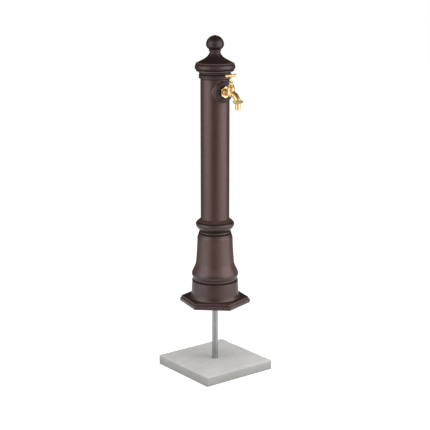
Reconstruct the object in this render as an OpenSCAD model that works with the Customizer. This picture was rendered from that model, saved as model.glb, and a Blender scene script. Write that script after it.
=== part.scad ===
// Garden standpipe: a cast column with a brass tap, sliding on its supply pipe above a concrete slab.
// Millimetres, +Z up. The origin is the middle of the slab's underside, and the tap points along -Y.

/* [Slab and supply] */
// Side of the square concrete slab
slab_w = 300; // [270:5:450]
// Thickness of the slab
slab_t = 35; // [34:1:60]
// Chamfer along the slab's edges
slab_edge = 2; // [1:0.5:6]
// Outside diameter of the supply pipe
pipe_d = 21.3; // [19:0.1:24]
// Wall of the supply pipe
pipe_wall = 2.6; // [2:0.1:3.2]
// Height of the pipe's top above the slab
pipe_rise = 590; // [500:5:600]
// Length of the threaded socket in the slab's underside
socket_len = 28; // [24:1:32]
// Wall of the socket outside the pipe
socket_wall = 3.2; // [2.5:0.1:5]
// Lip inside the socket that the pipe's end stands on
socket_lip = 1.05; // [0.6:0.05:2]
// Width of the nipples' hexagons across their flats, over the pipe
nipple_af = 27; // [26:0.5:32]
// Height of the hexagon on a hose nipple
nipple_hex = 8; // [6:0.5:12]
// Outside radius of a hose nipple's stem
nipple_r = 7; // [6:0.1:8]
// Bore radius of a hose nipple
nipple_bore = 4.5; // [3.5:0.1:5]
// Length of a hose nipple's stem
nipple_len = 28; // [20:1:36]

/* [Foot] */
// Gap between the slab and the foot, with the column raised
lift = 220; // [150:0.5:240]
// Height of the foot, up to the pedestal
foot_h = 88; // [80:0.5:92]
// Width of the hexagonal plinth across its flats
hex_af = 225; // [215:1:260]
// Turn of a plinth corner from the tap's direction
hex_turn = 47.5; // [0:0.5:59]
// Height of the plinth's lower band
hex_low = 13; // [7:0.5:15]
// Height of the plinth's upper band
hex_high = 8; // [3:0.5:10]
// Step back from the lower band to the upper one
hex_step = 4.5; // [2:0.5:5]
// Bevel on the top of each band
hex_bevel = 1.5; // [0.5:0.1:2.5]
// Width of the skirt around the plinth's relief
skirt = 8; // [7:0.5:10]
// Thickness of the ribs under the plinth
rib_t = 5; // [4:0.5:8]
// Diameter of the drum at its top
drum_d = 168; // [164:1:176]
// Widening of the drum's radius down to the cove
drum_taper = 2; // [0:0.5:4]
// Reach of the cove at the drum's foot
cove_reach = 5.5; // [3:0.5:8]
// Height of that cove
cove_h = 25; // [15:1:30]
// Height of the ledge that the guide bears on
ledge_z = 36; // [33:1:44]
// Width of that ledge
ledge_w = 3; // [2:0.5:4]
// Thickness of the foot's top flange
flange_t = 6; // [5:0.5:9]
// Hole radius in the flanges of foot and pedestal
flange_hole = 58; // [54:1:60]

/* [Guide] */
// Thickness of the guide's arms
guide_t = 6; // [5:0.5:9]
// Outside radius of the guide's hub
hub_r = 21; // [19:0.5:24]
// Height of the hub's lower end above the plinth's underside
hub_low = 6; // [4:0.5:9]
// Height of the hub above the arms
hub_up = 14; // [8:1:20]
// Wall of the nylon bush
bush_t = 2.5; // [2:0.1:3.5]
// Thickness of the bush's flange
bush_flange = 2.5; // [2:0.1:4]
// Width of the guide's three arms
arm_w = 24; // [20:1:30]
// Pitch radius of the three foot bolts
bolt_pitch = 68; // [66:0.5:71]
// Radius of the foot bolts and of the grub screws
bolt_r = 4; // [3:0.5:5]
// Bolt head width across the flats
bolt_af = 13; // [10:0.5:16]
// Bolt head height
bolt_head = 5.5; // [4:0.5:7]
// How far each bolt goes into the pedestal's flange
bolt_grip = 12; // [9:0.5:14]

/* [Pedestal and collar] */
// Height of the pedestal
ped_h = 175; // [160:1:200]
// How far the pedestal's foot band stands inside the drum's edge
ped_inset = 3; // [2:0.5:5]
// Height of that band
ped_band = 9.5; // [7:0.5:12]
// Diameter of the bell at its widest
bell_d = 170; // [166:1:176]
// Height at which the bell is widest, above the pedestal's foot
bell_rise = 21; // [18:1:26]
// Thickness of the pedestal's bottom flange
ped_flange = 15; // [14.5:0.5:17]
// Wall of the socket around the shaft, at the pedestal's top
sock_wall = 7.5; // [6:0.5:10]
// Depth of that socket
sock_depth = 43; // [36:1:50]
// How far the pedestal's shoulder stands outside the socket's rim
shoulder = 5; // [4:0.5:7]
// Height of the collar
collar_h = 53; // [46:1:60]
// How far the collar stands out from the shaft
collar_reach = 18; // [16:0.5:22]
// How far the bead under the collar stands out from the shaft
bead_reach = 6; // [5:0.5:8]

/* [Shaft] */
// Diameter of the shaft
col_d = 104; // [100:1:112]
// Wall of the castings
wall = 5; // [4:0.5:6]
// Length of the shaft, with the end in the pedestal
shaft_len = 619; // [580:1:640]
// Height of the ring around the shaft's top
ring_h = 14.5; // [12:0.5:18]
// How far that ring stands out
ring_reach = 6.2; // [5:0.2:8]
// Width of the inner ledge at the shaft's top
top_ledge = 5; // [4:0.5:7]
// Depth of the tap's axis below the shaft's top
tap_drop = 58; // [56:1:76]
// Diameter of the round boss behind the tap
boss_d = 75; // [68:1:80]
// How far the boss stands out from the shaft
boss_reach = 5; // [4:0.5:8]
// Rounding of the boss's edge
boss_edge = 2.5; // [1:0.5:4]
// Distance of the inner pad's face from the shaft's axis
pad_face = 40; // [38:0.5:42]
// Radius of the inner pad
pad_r = 20; // [18.5:0.5:23]

/* [Cap and finial] */
// Height of the cap
cap_h = 81; // [76:1:90]
// How far the cap's rim stands out from the shaft
cap_reach = 20.2; // [18:0.2:22]
// Radius of the cap's neck under the finial
neck_r = 19.2; // [18:0.2:22]
// Length of the spigot that goes into the shaft's top
spigot = 11; // [8:0.5:12]
// Radius of the finial's ball
ball_r = 31.8; // [30:0.2:36]
// Height of the ball's middle above the cap
ball_rise = 23.5; // [22:0.5:28]
// Radius of the ring under the ball
ring_r = 22.5; // [21:0.5:24]
// Radius of the rod that holds cap and finial
rod_r = 5; // [4:0.5:6]
// How far the rod goes into the finial
rod_grip = 24; // [16:1:28]
// Thickness of the bridge under the shaft's ledge
bridge_t = 6; // [5:0.5:9]
// Width of the bridge
bridge_w = 22; // [18:1:28]
// Width of the bridge's nut across its flats
rod_af = 17; // [16:0.5:20]
// Height of that nut
rod_nut = 8; // [6:0.5:10]

/* [Tap body] */
// Thickness of the wall nut
nut_t = 6; // [5:0.5:9]
// Width of the wall nut across its flats
nut_af = 38; // [32:0.5:42]
// Radius of the tap's threaded tail
tail_r = 10.4; // [9.5:0.1:11]
// Distance of the tail's end from the shaft's axis
tail_end = 12; // [10:0.5:16]
// Thickness of the washer inside the shaft
back_t = 2; // [1:0.5:3]
// Thickness of the back nut
back_nut_t = 8; // [6:0.5:9]
// Width of the back nut across its flats
back_af = 30; // [27:0.5:34]
// Distance of the spindle's axis from the shaft's axis
spindle_u = 91.5; // [88:0.5:98]
// Radius of the neck between wall nut and valve chamber
inlet_neck = 11.2; // [11:0.1:13]
// Outside radius of the valve chamber
chamber_r = 14; // [13.5:0.1:16]
// Depth of the chamber's bottom below the tap's axis
chamber_low = 13; // [12:0.5:16]
// Height of the chamber's top above the tap's axis
chamber_top = 21; // [20.5:0.5:24]
// Inside radius of the chamber
chamber_bore = 10.5; // [10.2:0.1:11]
// Radius of the waterway to the valve seat
way_r = 6.5; // [5:0.1:7]
// Height of the valve seat above the tap's axis
seat_w = 8; // [7.5:0.5:9]
// Height of the lip on the seat
seat_lip = 1; // [0.5:0.1:1.5]
// Width of that lip
seat_rim = 1.6; // [1:0.1:1.8]
// Outside radius of the spout
spout_r = 10.6; // [10:0.1:10.7]
// Inside radius of the spout
spout_bore = 7.5; // [6:0.1:8.5]
// Distance of the outlet's axis from the spindle's axis
spout_reach = 38.5; // [38:0.5:50]
// Depth of the outlet's end below the tap's axis
spout_drop = 26; // [24:0.5:30]
// Slope of the spout where it leaves the chamber
spout_a0 = 8; // [6:1:12]
// Slope of the spout at the outlet
spout_a1 = 62; // [58:1:66]
// Radius of the ports from the chamber into the spout
port_r = 2; // [1.5:0.1:2.2]
// Radius of the outlet's thread
outlet_r = 13.2; // [12.6:0.1:14]
// Length of the outlet's thread
outlet_len = 4.5; // [4:0.5:6]

/* [Hose union] */
// Width of the union nut across its flats
union_af = 32; // [30.5:0.5:36]
// Height of the union nut
union_h = 10.5; // [10.2:0.1:14]
// Height of the taper under the union nut's hexagon
union_cone = 3; // [2:0.5:4]
// Thickness of the lip that holds the hose tail
union_lip = 2.6; // [2:0.1:4]
// Thickness of the washer over the hose tail
union_washer_t = 2; // [1:0.1:2.5]
// Thickness of the hose tail's flange
tail_flange = 2.5; // [2:0.1:4]
// Outside radius of the hose tail
hose_r = 9.5; // [8.5:0.1:10.5]
// Bore radius of the hose tail
hose_bore = 6.8; // [5:0.1:7.4]
// Length of the hose tail below the union nut
hose_len = 22; // [18:1:32]
// Depth of the grooves around the hose tail
hose_groove = 0.5; // [0.3:0.1:0.9]

/* [Headgear and handle] */
// Width of the bonnet's hexagon across its flats
bonnet_af = 19; // [18:0.5:24]
// Height of that hexagon
bonnet_hex = 7.5; // [6:0.5:10]
// Length of the bonnet's thread in the chamber
bonnet_screw = 6; // [5:0.5:6.5]
// Wall of the bonnet's thread
bonnet_wall = 1.4; // [1:0.1:1.6]
// Thickness of the gasket under the bonnet
gasket_t = 1; // [0.5:0.1:2]
// Radius of the bonnet's neck
bonnet_neck = 6.6; // [6.4:0.1:7.5]
// Height of the bonnet's neck
bonnet_neck_h = 6.5; // [6:0.1:8]
// Depth of the packing's room
packing_room = 3.8; // [3.2:0.1:4.4]
// Width of the gland nut across its flats
gland_af = 12; // [11:0.5:14]
// Height of the gland nut above the bonnet
gland_h = 5; // [4:0.5:7]
// Height of the taper on top of the gland nut
gland_cone = 2.5; // [1:0.5:3]
// How far the gland nut goes into the bonnet
gland_in = 1; // [0.5:0.1:1.5]
// Radius of the spindle's stem
stem_r = 3.4; // [3:0.1:3.6]
// Radius of the spindle's thread
screw_r = 4.5; // [4.3:0.1:4.8]
// Lift of the valve for each turn of the handle
pitch = 2.4; // [1.5:0.1:2.5]
// Turns of the handle from closed to open
turns = 2.5; // [1:0.5:2.5]
// Radius of the valve washer
washer_r = 8.3; // [8:0.1:8.5]
// Thickness of the valve washer
washer_t = 4; // [3.5:0.1:4.2]
// Thickness of the jumper's plate
jumper_t = 2.5; // [2:0.1:2.8]
// Radius of the jumper's pin
jumper_pin = 2.2; // [1.8:0.1:2.4]
// Length of the jumper's pin in the spindle
jumper_up = 6; // [4:0.5:8]
// Height of the T-handle's bar above the tap's axis
bar_w = 61; // [60:0.5:68]
// Turn of the closed handle from square across the tap
handle_rest = 5; // [0:1:45]
// Length of the bar
bar_l = 49; // [44:1:49]
// Radius of the bar at its ends
bar_r = 5.2; // [4.5:0.1:6]
// Radius of the bar beside the hub
bar_waist = 4.3; // [3.8:0.1:4.8]
// Radius of the handle's hub
handle_hub = 6; // [5.5:0.1:7.5]

/* [Clearances] */
// Gap around the pipe in the guide's bush
slide_gap = 0.06; // [0.03:0.01:0.1]
// Gap around the moving stem, thread and pin
run_gap = 0.08; // [0.04:0.01:0.1]
// Gap between pieces that are fixed together
fit_gap = 0.1; // [0.05:0.05:0.3]
// Gap around bolts in plain holes
hole_gap = 0.5; // [0.3:0.1:0.8]
// Gap around the pipe in the slab
slab_gap = 0.4; // [0.2:0.1:1]

/* [Output] */
// Piece to draw

/* [Hidden] */
$fn = 96;
paint = "#5a4a47";
brass = "#d9b25f";
zinc = "#a3a5a6";
steel = "#8f9194";
nylon = "#e6e2d6";
rubber = "#2b2b2b";
fibre = "#8c4a3a";
pipe_r = pipe_d / 2;
pipe_top = slab_t + pipe_rise;
socket_r = pipe_r + socket_wall;
inlet_r = pipe_r - socket_lip;
stand = socket_len / 2;
foot_z = slab_t + lift;
hex_h = hex_low + hex_high;
drum_r = drum_d / 2;
drum_low = drum_r + drum_taper;
guide_seat = drum_low - wall;
bush_r = pipe_r + slide_gap + bush_t;
hub_high = ledge_z + hub_up;
clamp_z = (hub_low + ledge_z - guide_t) / 2;
col_r = col_d / 2;
bore_r = col_r - wall;
ped_top = col_r + sock_wall;
shoulder_r = ped_top + shoulder;
bell_r = bell_d / 2;
ped_z = foot_h;
collar_z = ped_z + ped_h;
seat_z = collar_z - sock_depth;
top_z = seat_z + shaft_len;
tap_z = top_z - tap_drop;
ledge_r = bore_r - top_ledge;
rim_r = col_r + cap_reach;
finial_z = top_z + cap_h;
bridge_z = top_z - ring_h - bridge_t;
boss_face = col_r + boss_reach;
shoulder_u = boss_face + nut_t;
outlet_u = spindle_u + spout_reach;
bend_end = 3 - spout_drop;
bend_r = (spout_reach - chamber_r / 2) / (sin(spout_a1) - sin(spout_a0));
bend_u = outlet_u - bend_r * sin(spout_a1);
bend_w = bend_end - bend_r * cos(spout_a1);
spout_top = bend_w + bend_r * cos(spout_a0);
port_at = way_r + seat_rim + port_r + fit_gap;
valve_w = seat_w + seat_lip;
plate_w = valve_w + washer_t;
spindle_w = plate_w + jumper_t;
rise = pitch * turns;
bonnet_w = chamber_top + gasket_t;
bonnet_top = bonnet_w + bonnet_hex + bonnet_neck_h;
packing_w = bonnet_top - packing_room;
gland_top = bonnet_top + gland_h;
room_r = chamber_bore - fit_gap - bonnet_wall;
room_top = spindle_w + rise + 0.6;
screw_top = packing_w - 0.8 - rise;
hub_w = bar_w - bar_r - 2.2;
hub_top = bar_w + bar_r;
union_w = -spout_drop - union_washer_t - tail_flange - union_lip;
hose_end = union_w - hose_len;
elbow_u = 4;
elbow_low = -26;

// Points along part of an ellipse, from angle a to angle b
function arc(x, z, rx, rz, a, b, n = 8) =
  [for (i = [0 : n]) let (t = a + (b - a) * i / n) [x + rx * cos(t), z + rz * sin(t)]];

// Points along a cubic curve
function curve(p, q, r, s, n = 12) =
  [for (i = [0 : n]) let (t = i / n, u = 1 - t)
    u * u * u * p + 3 * u * u * t * q + 3 * u * t * t * r + t * t * t * s];

// The column's frame, with its zero at the plinth's underside
module at_column() {
  translate([0, 0, foot_z])
    children();
}

// The tap's frame: +X leads out of the column along the tap's axis
module at_tap() {
  at_column()
    translate([0, 0, tap_z])
      rotate(-90)
        children();
}

// The valve's frame, with its zero where the spindle's axis meets the tap's axis
module at_valve() {
  at_tap()
    translate([spindle_u, 0, 0])
      children();
}

// The outlet's frame
module at_outlet() {
  at_tap()
    translate([outlet_u, 0, 0])
      children();
}

module along_tap(from) {
  translate([from, 0, 0])
    rotate([0, 90, 0])
      children();
}

module ring(r_out, r_in, h) {
  difference() {
    cylinder(r = r_out, h = h);
    translate([0, 0, -1])
      cylinder(r = r_in, h = h + 2);
  }
}

// A hexagon with both ends turned down to a round chamfer
module hex_bar(af, h, top = true, low = true) {
  corner = af / 2 / cos(30);
  cut = corner - af / 2;
  drop = cut * 0.6;
  intersection() {
    cylinder(r = corner, h = h, $fn = 6);
    rotate_extrude()
      polygon([
        [0, 0],
        [low ? corner - cut : corner + 1, 0],
        [corner + 1, low ? drop * (cut + 1) / cut : 0],
        [corner + 1, top ? h - drop * (cut + 1) / cut : h],
        [top ? corner - cut : corner + 1, h],
        [0, h]
      ]);
  }
}

module three_bolts() {
  for (k = [0 : 2])
    rotate(90 + 120 * k)
      translate([bolt_pitch, 0, 0])
        children();
}

module three_clamps(z) {
  for (k = [0 : 2])
    rotate(30 + 120 * k)
      translate([0, 0, z])
        rotate([0, 90, 0])
          children();
}

module two_grubs(z) {
  for (a = [50, 130])
    rotate(a)
      translate([0, 0, z])
        rotate([0, 90, 0])
          children();
}

module paving_slab() {
  half = slab_w / 2;
  color("#bdbcb8")
    difference() {
      intersection() {
        translate([-half, -half, 0])
          cube([slab_w, slab_w, slab_t]);
        rotate([90, 0, 0])
          translate([0, 0, -half - 1])
            linear_extrude(slab_w + 2)
              polygon([
                [-half, 0], [half, 0], [half, slab_t - slab_edge], [half - slab_edge, slab_t],
                [slab_edge - half, slab_t], [-half, slab_t - slab_edge]
              ]);
        rotate([90, 0, 90])
          translate([0, 0, -half - 1])
            linear_extrude(slab_w + 2)
              polygon([
                [-half, 0], [half, 0], [half, slab_t - slab_edge], [half - slab_edge, slab_t],
                [slab_edge - half, slab_t], [-half, slab_t - slab_edge]
              ]);
      }
      translate([0, 0, -1])
        cylinder(r = pipe_r + slab_gap, h = slab_t + 2);
      translate([0, 0, -1])
        cylinder(r = socket_r + fit_gap, h = socket_len + 1);
    }
}

module supply_pipe() {
  color(zinc)
    translate([0, 0, stand])
      ring(pipe_r, pipe_r - pipe_wall, pipe_top - stand);
}

module inlet_socket() {
  color(zinc)
    difference() {
      cylinder(r = socket_r, h = socket_len);
      translate([0, 0, -1])
        cylinder(r = inlet_r, h = socket_len);
      translate([0, 0, stand])
        cylinder(r = pipe_r + fit_gap, h = socket_len);
    }
}

// A hose nipple's stem with shallow grooves, standing on z = 0
function stem_outline(r, bore, len, groove) =
  let (step = len / 5)
  concat(
    [[bore, 0], [r, 0]],
    [for (k = [1 : 3]) each [[r, step * k], [r - groove, step * k + groove], [r, step * k + 3 * groove]]],
    [[r, len - 1.5], [r - 1, len], [bore, len]]
  );

module supply_nipple() {
  stub = pipe_r - pipe_wall - fit_gap;
  color(brass)
    translate([0, 0, pipe_top])
      difference() {
        union() {
          translate([0, 0, -12])
            cylinder(r = stub, h = 13);
          hex_bar(nipple_af, nipple_hex);
          translate([0, 0, nipple_hex])
            rotate_extrude()
              polygon(stem_outline(nipple_r, nipple_bore, nipple_len, hose_groove));
        }
        translate([0, 0, -13])
          cylinder(r = nipple_bore, h = nipple_hex + 14);
      }
}

module hex_band(af, h) {
  corner = af / 2 / cos(30);
  cylinder(r = corner, h = h - hex_bevel, $fn = 6);
  translate([0, 0, h - hex_bevel])
    cylinder(r1 = corner, r2 = corner - hex_bevel / cos(30), h = hex_bevel, $fn = 6);
}

function drum_outline() = concat(
  [[guide_seat - 1, hex_low / 2], [drum_low + cove_reach, hex_low / 2]],
  arc(drum_low + cove_reach, hex_h + cove_h, cove_reach, cove_h, 270, 180, 10),
  arc(drum_r - 1.5, foot_h - 1.5, 1.5, 1.5, 0, 90, 4),
  [[flange_hole - 1, foot_h], [flange_hole - 1, foot_h - flange_t], [guide_seat - 1, foot_h - flange_t]]
);

// Hexagonal plinth and drum in one casting, hollow underneath
module foot() {
  color(paint)
    at_column()
      difference() {
        union() {
          rotate(hex_turn - 90) {
            hex_band(hex_af, hex_low);
            translate([0, 0, hex_low])
              hex_band(hex_af - 2 * hex_step, hex_high);
          }
          rotate_extrude()
            polygon(drum_outline());
          translate([0, 0, ledge_z])
            ring(drum_r - 2, guide_seat - ledge_w, foot_h - ledge_z - flange_t);
        }
        translate([0, 0, -1])
          cylinder(r = guide_seat, h = ledge_z + 1);
        translate([0, 0, -1])
          cylinder(r = flange_hole, h = foot_h + 2);
        rotate(hex_turn - 90)
          difference() {
            translate([0, 0, -1])
              cylinder(r = (hex_af / 2 - skirt) / cos(30), h = 1 + hex_h - wall, $fn = 6);
            translate([0, 0, -2])
              cylinder(r = guide_seat + wall, h = hex_h + 2);
            for (k = [0 : 2])
              rotate(60 * k)
                cube([hex_af * 1.2, rib_t, 2 * hex_h], center = true);
          }
        three_bolts()
          translate([0, 0, foot_h - flange_t - 1])
            cylinder(r = bolt_r + hole_gap, h = flange_t + 2);
      }
}

// Three-armed spider that holds the hub on the pipe, its arms under the foot's ledge
module guide() {
  inner = bush_r + fit_gap;
  color(steel)
    at_column()
      difference() {
        union() {
          translate([0, 0, hub_low])
            cylinder(r = hub_r, h = hub_high - hub_low);
          intersection() {
            translate([0, 0, ledge_z - guide_t])
              cylinder(r = guide_seat - hole_gap, h = guide_t);
            for (k = [0 : 2])
              rotate(90 + 120 * k)
                translate([inner + 0.7, -arm_w / 2, 0])
                  cube([guide_seat, arm_w, ledge_z + 1]);
          }
        }
        translate([0, 0, hub_low - 1])
          cylinder(r = inner, h = hub_high - hub_low + 2);
        three_bolts()
          translate([0, 0, ledge_z - guide_t - 1])
            cylinder(r = bolt_r + hole_gap, h = guide_t + 2);
        three_clamps(clamp_z)
          cylinder(r = bolt_r + fit_gap, h = hub_r + 1);
      }
}

module guide_bush() {
  color(nylon)
    at_column()
      rotate_extrude()
        polygon([
          [pipe_r + slide_gap, hub_low], [bush_r, hub_low], [bush_r, hub_high],
          [hub_r, hub_high], [hub_r, hub_high + bush_flange], [pipe_r + slide_gap, hub_high + bush_flange]
        ]);
}

module guide_screws() {
  color(steel)
    at_column()
      three_clamps(clamp_z)
        translate([0, 0, bush_r])
          difference() {
            cylinder(r = bolt_r, h = hub_r - bush_r + 2);
            translate([0, 0, hub_r - bush_r - 1])
              cylinder(r = bolt_r * 0.58, h = 4, $fn = 6);
          }
}

module foot_bolts() {
  color(steel)
    at_column()
      three_bolts()
        translate([0, 0, ledge_z - guide_t - bolt_head]) {
          hex_bar(bolt_af, bolt_head, top = false);
          cylinder(r = bolt_r, h = bolt_head + guide_t - ledge_z + foot_h + bolt_grip);
        }
}

function bell(f, g) = [shoulder_r + f * (bell_r - shoulder_r), g * ped_h];

function pedestal_outline() =
  let (foot_r = drum_r - ped_inset)
  concat(
    [[flange_hole, 0], [foot_r, 0], [foot_r, ped_band]],
    arc(foot_r - 1, bell_rise, bell_r - foot_r + 1, bell_rise - ped_band - 0.4, -62, 0, 8),
    curve([bell_r, bell_rise + 0.5], [bell_r, bell_rise + 12], bell(0.30, 0.276), bell(0.249, 0.391), 16),
    curve(bell(0.247, 0.395), bell(0.146, 0.506), bell(0.034, 0.69), bell(0, 0.872), 12),
    arc(shoulder_r - 10, 0.879 * ped_h, 10, 0.11 * ped_h, 0, 42, 6),
    [[ped_top + 0.6, ped_h - 8], [ped_top + 0.6, ped_h - 1.2], [ped_top - 0.6, ped_h]],
    [[col_r + fit_gap, ped_h], [col_r + fit_gap, ped_h - sock_depth], [bore_r, ped_h - sock_depth]],
    [[bore_r, ped_h - sock_depth - 9], [shoulder_r - wall - 0.5, ped_h - sock_depth - 13]],
    [[bell(0.249, 0)[0] - wall, 0.36 * ped_h], [bell_r - wall - 1.5, bell_rise + 3]],
    [[bell_r - wall - 1.5, ped_flange], [flange_hole, ped_flange]]
  );

// Bell-shaped casting that carries the shaft in its socket
module pedestal() {
  color(paint)
    at_column()
      translate([0, 0, ped_z])
        difference() {
          rotate_extrude()
            polygon(pedestal_outline());
          three_bolts()
            translate([0, 0, -1])
              cylinder(r = bolt_r + fit_gap, h = bolt_grip + 2);
          two_grubs(ped_h - sock_depth / 2)
            translate([0, 0, col_r - 1])
              cylinder(r = bolt_r + fit_gap, h = shoulder_r - col_r + 2);
        }
}

function collar_outline() =
  let (bulge = col_r + collar_reach, bead = col_r + bead_reach, h = collar_h)
  concat(
    [[col_r + fit_gap, 0], [bead - 1.6, 0]],
    arc(bead - 4, 0.085 * h, 4, 0.075 * h, -60, 66, 8),
    [[col_r + 0.9, 0.19 * h], [col_r + 1.1, 0.215 * h]],
    curve([col_r + 1.6, 0.225 * h], [col_r + 8, 0.255 * h], [bulge, 0.415 * h], [bulge, 0.68 * h], 14),
    curve([bulge - 0.6, 0.7 * h], [bulge - 3, 0.775 * h], [bulge - 6, 0.87 * h], [col_r + 1.2, 0.985 * h], 10),
    [[col_r + fit_gap, h]]
  );

// Cover ring over the joint of shaft and pedestal, with a bead below its bulge
module collar() {
  color(paint)
    at_column()
      translate([0, 0, collar_z])
        rotate_extrude()
          polygon(collar_outline());
}

module shaft_screws() {
  color(steel)
    at_column()
      two_grubs(collar_z - sock_depth / 2)
        translate([0, 0, col_r])
          difference() {
            cylinder(r = bolt_r, h = sock_wall + 2);
            translate([0, 0, sock_wall - 2])
              cylinder(r = bolt_r * 0.58, h = 5, $fn = 6);
          }
}

function shaft_outline() =
  let (low = shaft_len - ring_h, half = ring_h / 2, edge = col_r + ring_reach)
  concat(
    [[0, 0], [col_r, 0], [col_r, low - 3]],
    curve([col_r, low - 2.9], [col_r, low - 1], [col_r + 0.6, low], [edge - 3.4, low]),
    arc(edge - 3.4, low + half / 2, 3.4, half / 2 - 0.2, -88, 80, 8),
    arc(edge - 3.4, low + 1.5 * half, 3.4, half / 2 - 0.2, -80, 70, 8),
    [[edge - 3, shaft_len], [0, shaft_len]]
  );

// Round boss behind the tap, turned about the tap's axis
module boss() {
  rotate([0, 0, -90])
    rotate([0, 90, 0])
      rotate_extrude()
        polygon(concat(
          [[0, col_r / 2], [boss_d / 2, col_r / 2]],
          arc(boss_d / 2 - boss_edge, boss_face - boss_edge, boss_edge, boss_edge, 0, 90, 5),
          [[0, boss_face]]
        ));
}

// Column tube with the ring around its top, the tap's boss and a pad inside for the back nut
module shaft() {
  color(paint)
    at_column()
      difference() {
        union() {
          difference() {
            union() {
              translate([0, 0, seat_z])
                rotate_extrude()
                  polygon(shaft_outline());
              translate([0, 0, tap_z])
                boss();
            }
            translate([0, 0, seat_z - 1])
              cylinder(r = bore_r, h = shaft_len - ring_h + 1);
            translate([0, 0, seat_z])
              cylinder(r = ledge_r, h = shaft_len + 1);
          }
          translate([0, 0, tap_z])
            rotate(-90)
              along_tap(pad_face)
                cylinder(r = pad_r, h = col_r - pad_face - 1);
        }
        translate([0, 0, tap_z])
          rotate(-90)
            along_tap(pad_face - 1)
              cylinder(r = tail_r + fit_gap, h = boss_face - pad_face + 2);
      }
}

function cap_outline() =
  let (seat = col_r + 4.3, fillet = rim_r - 5.2, h = cap_h)
  concat(
    [[ledge_r - 6, -spigot], [ledge_r - hole_gap, -spigot], [ledge_r - hole_gap, 0], [seat, 0], [seat, 2]],
    arc(fillet - 0.7, 2.4, fillet - 0.7 - seat, 9, 180, 92, 8),
    [[fillet, 11.6], [fillet, 16.6], [fillet - 0.8, 17.2]],
    arc(rim_r - 8.2, 26.5, 8.2, 11.4, -50, 46, 12),
    [[rim_r - 3.8, 35.4]],
    arc(rim_r - 5.6, 38, 2.5, 2.4, -50, 100, 6),
    [[rim_r - 7.4, 40.2]],
    curve([rim_r - 8.4, 41], [rim_r - 22, 0.63 * h], [neck_r + 6.8, 0.68 * h], [neck_r, h - 3.5], 18),
    [[neck_r, h], [rod_r + hole_gap, h], [rod_r + hole_gap, 0.77 * h]],
    [[neck_r + 2, 0.71 * h], [rim_r - 27, 0.56 * h], [rim_r - 15, 0.47 * h], [rim_r - 11.5, 33]],
    [[fillet - 8, 18], [seat - 6.5, 6], [ledge_r - 6, 6]]
  );

// Ogee roof with a moulded rim, let into the shaft's top by its spigot
module cap() {
  color(paint)
    at_column()
      translate([0, 0, top_z])
        rotate_extrude()
          polygon(cap_outline());
}

function finial_outline() = concat(
  [[rod_r + fit_gap, 0], [ring_r - 1.2, 0]],
  arc(ring_r - 2.4, 2.4, 2.4, 2.4, -60, 62, 6),
  arc(0, ball_rise, ball_r, ball_rise - 0.6, -50, 0, 12),
  arc(0, ball_rise, ball_r, ball_r, 5, 81, 16),
  [[ball_r * 0.14, ball_rise + ball_r + 0.4], [0, ball_rise + ball_r + 1]],
  [[0, rod_grip + 3], [rod_r + fit_gap, rod_grip + 1]]
);

module finial() {
  color(paint)
    at_column()
      translate([0, 0, finial_z])
        rotate_extrude()
          polygon(finial_outline());
}

module cap_rod() {
  low = bridge_z - rod_nut - 3;
  color(steel)
    at_column()
      translate([0, 0, low])
        cylinder(r = rod_r, h = finial_z + rod_grip - low);
}

module cap_bridge() {
  reach = sqrt(pow(bore_r - 1, 2) - pow(bridge_w / 2, 2));
  color(steel)
    at_column()
      translate([0, 0, bridge_z])
        difference() {
          translate([-reach, -bridge_w / 2, 0])
            cube([2 * reach, bridge_w, bridge_t]);
          translate([0, 0, -1])
            cylinder(r = rod_r + hole_gap, h = bridge_t + 2);
        }
}

module bridge_nut() {
  color(steel)
    at_column()
      translate([0, 0, bridge_z - rod_nut])
        difference() {
          hex_bar(rod_af, rod_nut);
          translate([0, 0, -1])
            cylinder(r = rod_r + fit_gap, h = rod_nut + 2);
        }
}

// The spout's bend, a stretch of a ring in the tap's upright plane
module bend(r, a, b) {
  translate([bend_u, 0, bend_w])
    rotate([90, 0, 0])
      rotate_extrude(angle = b - a, start = a)
        translate([bend_r, 0])
          circle(r = r);
}

function chamber_outline() = concat(
  [[0, -chamber_low]],
  arc(chamber_r - 8, 8 - chamber_low, 8, 8, -90, 0, 8),
  [[chamber_r, chamber_top - 4.5], [chamber_r - 1.2, chamber_top - 3]],
  [[chamber_r - 1.2, chamber_top], [0, chamber_top]]
);

function neck_outline() = concat(
  [[0, 0], [tail_r + 2.4, 0], [tail_r + 2.4, 2], [inlet_neck, 4]],
  curve([inlet_neck, 4.2], [inlet_neck, 12], [inlet_neck, 14], [inlet_neck + 1.6, spindle_u - shoulder_u - 5], 8),
  [[0, spindle_u - shoulder_u - 5]]
);

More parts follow.
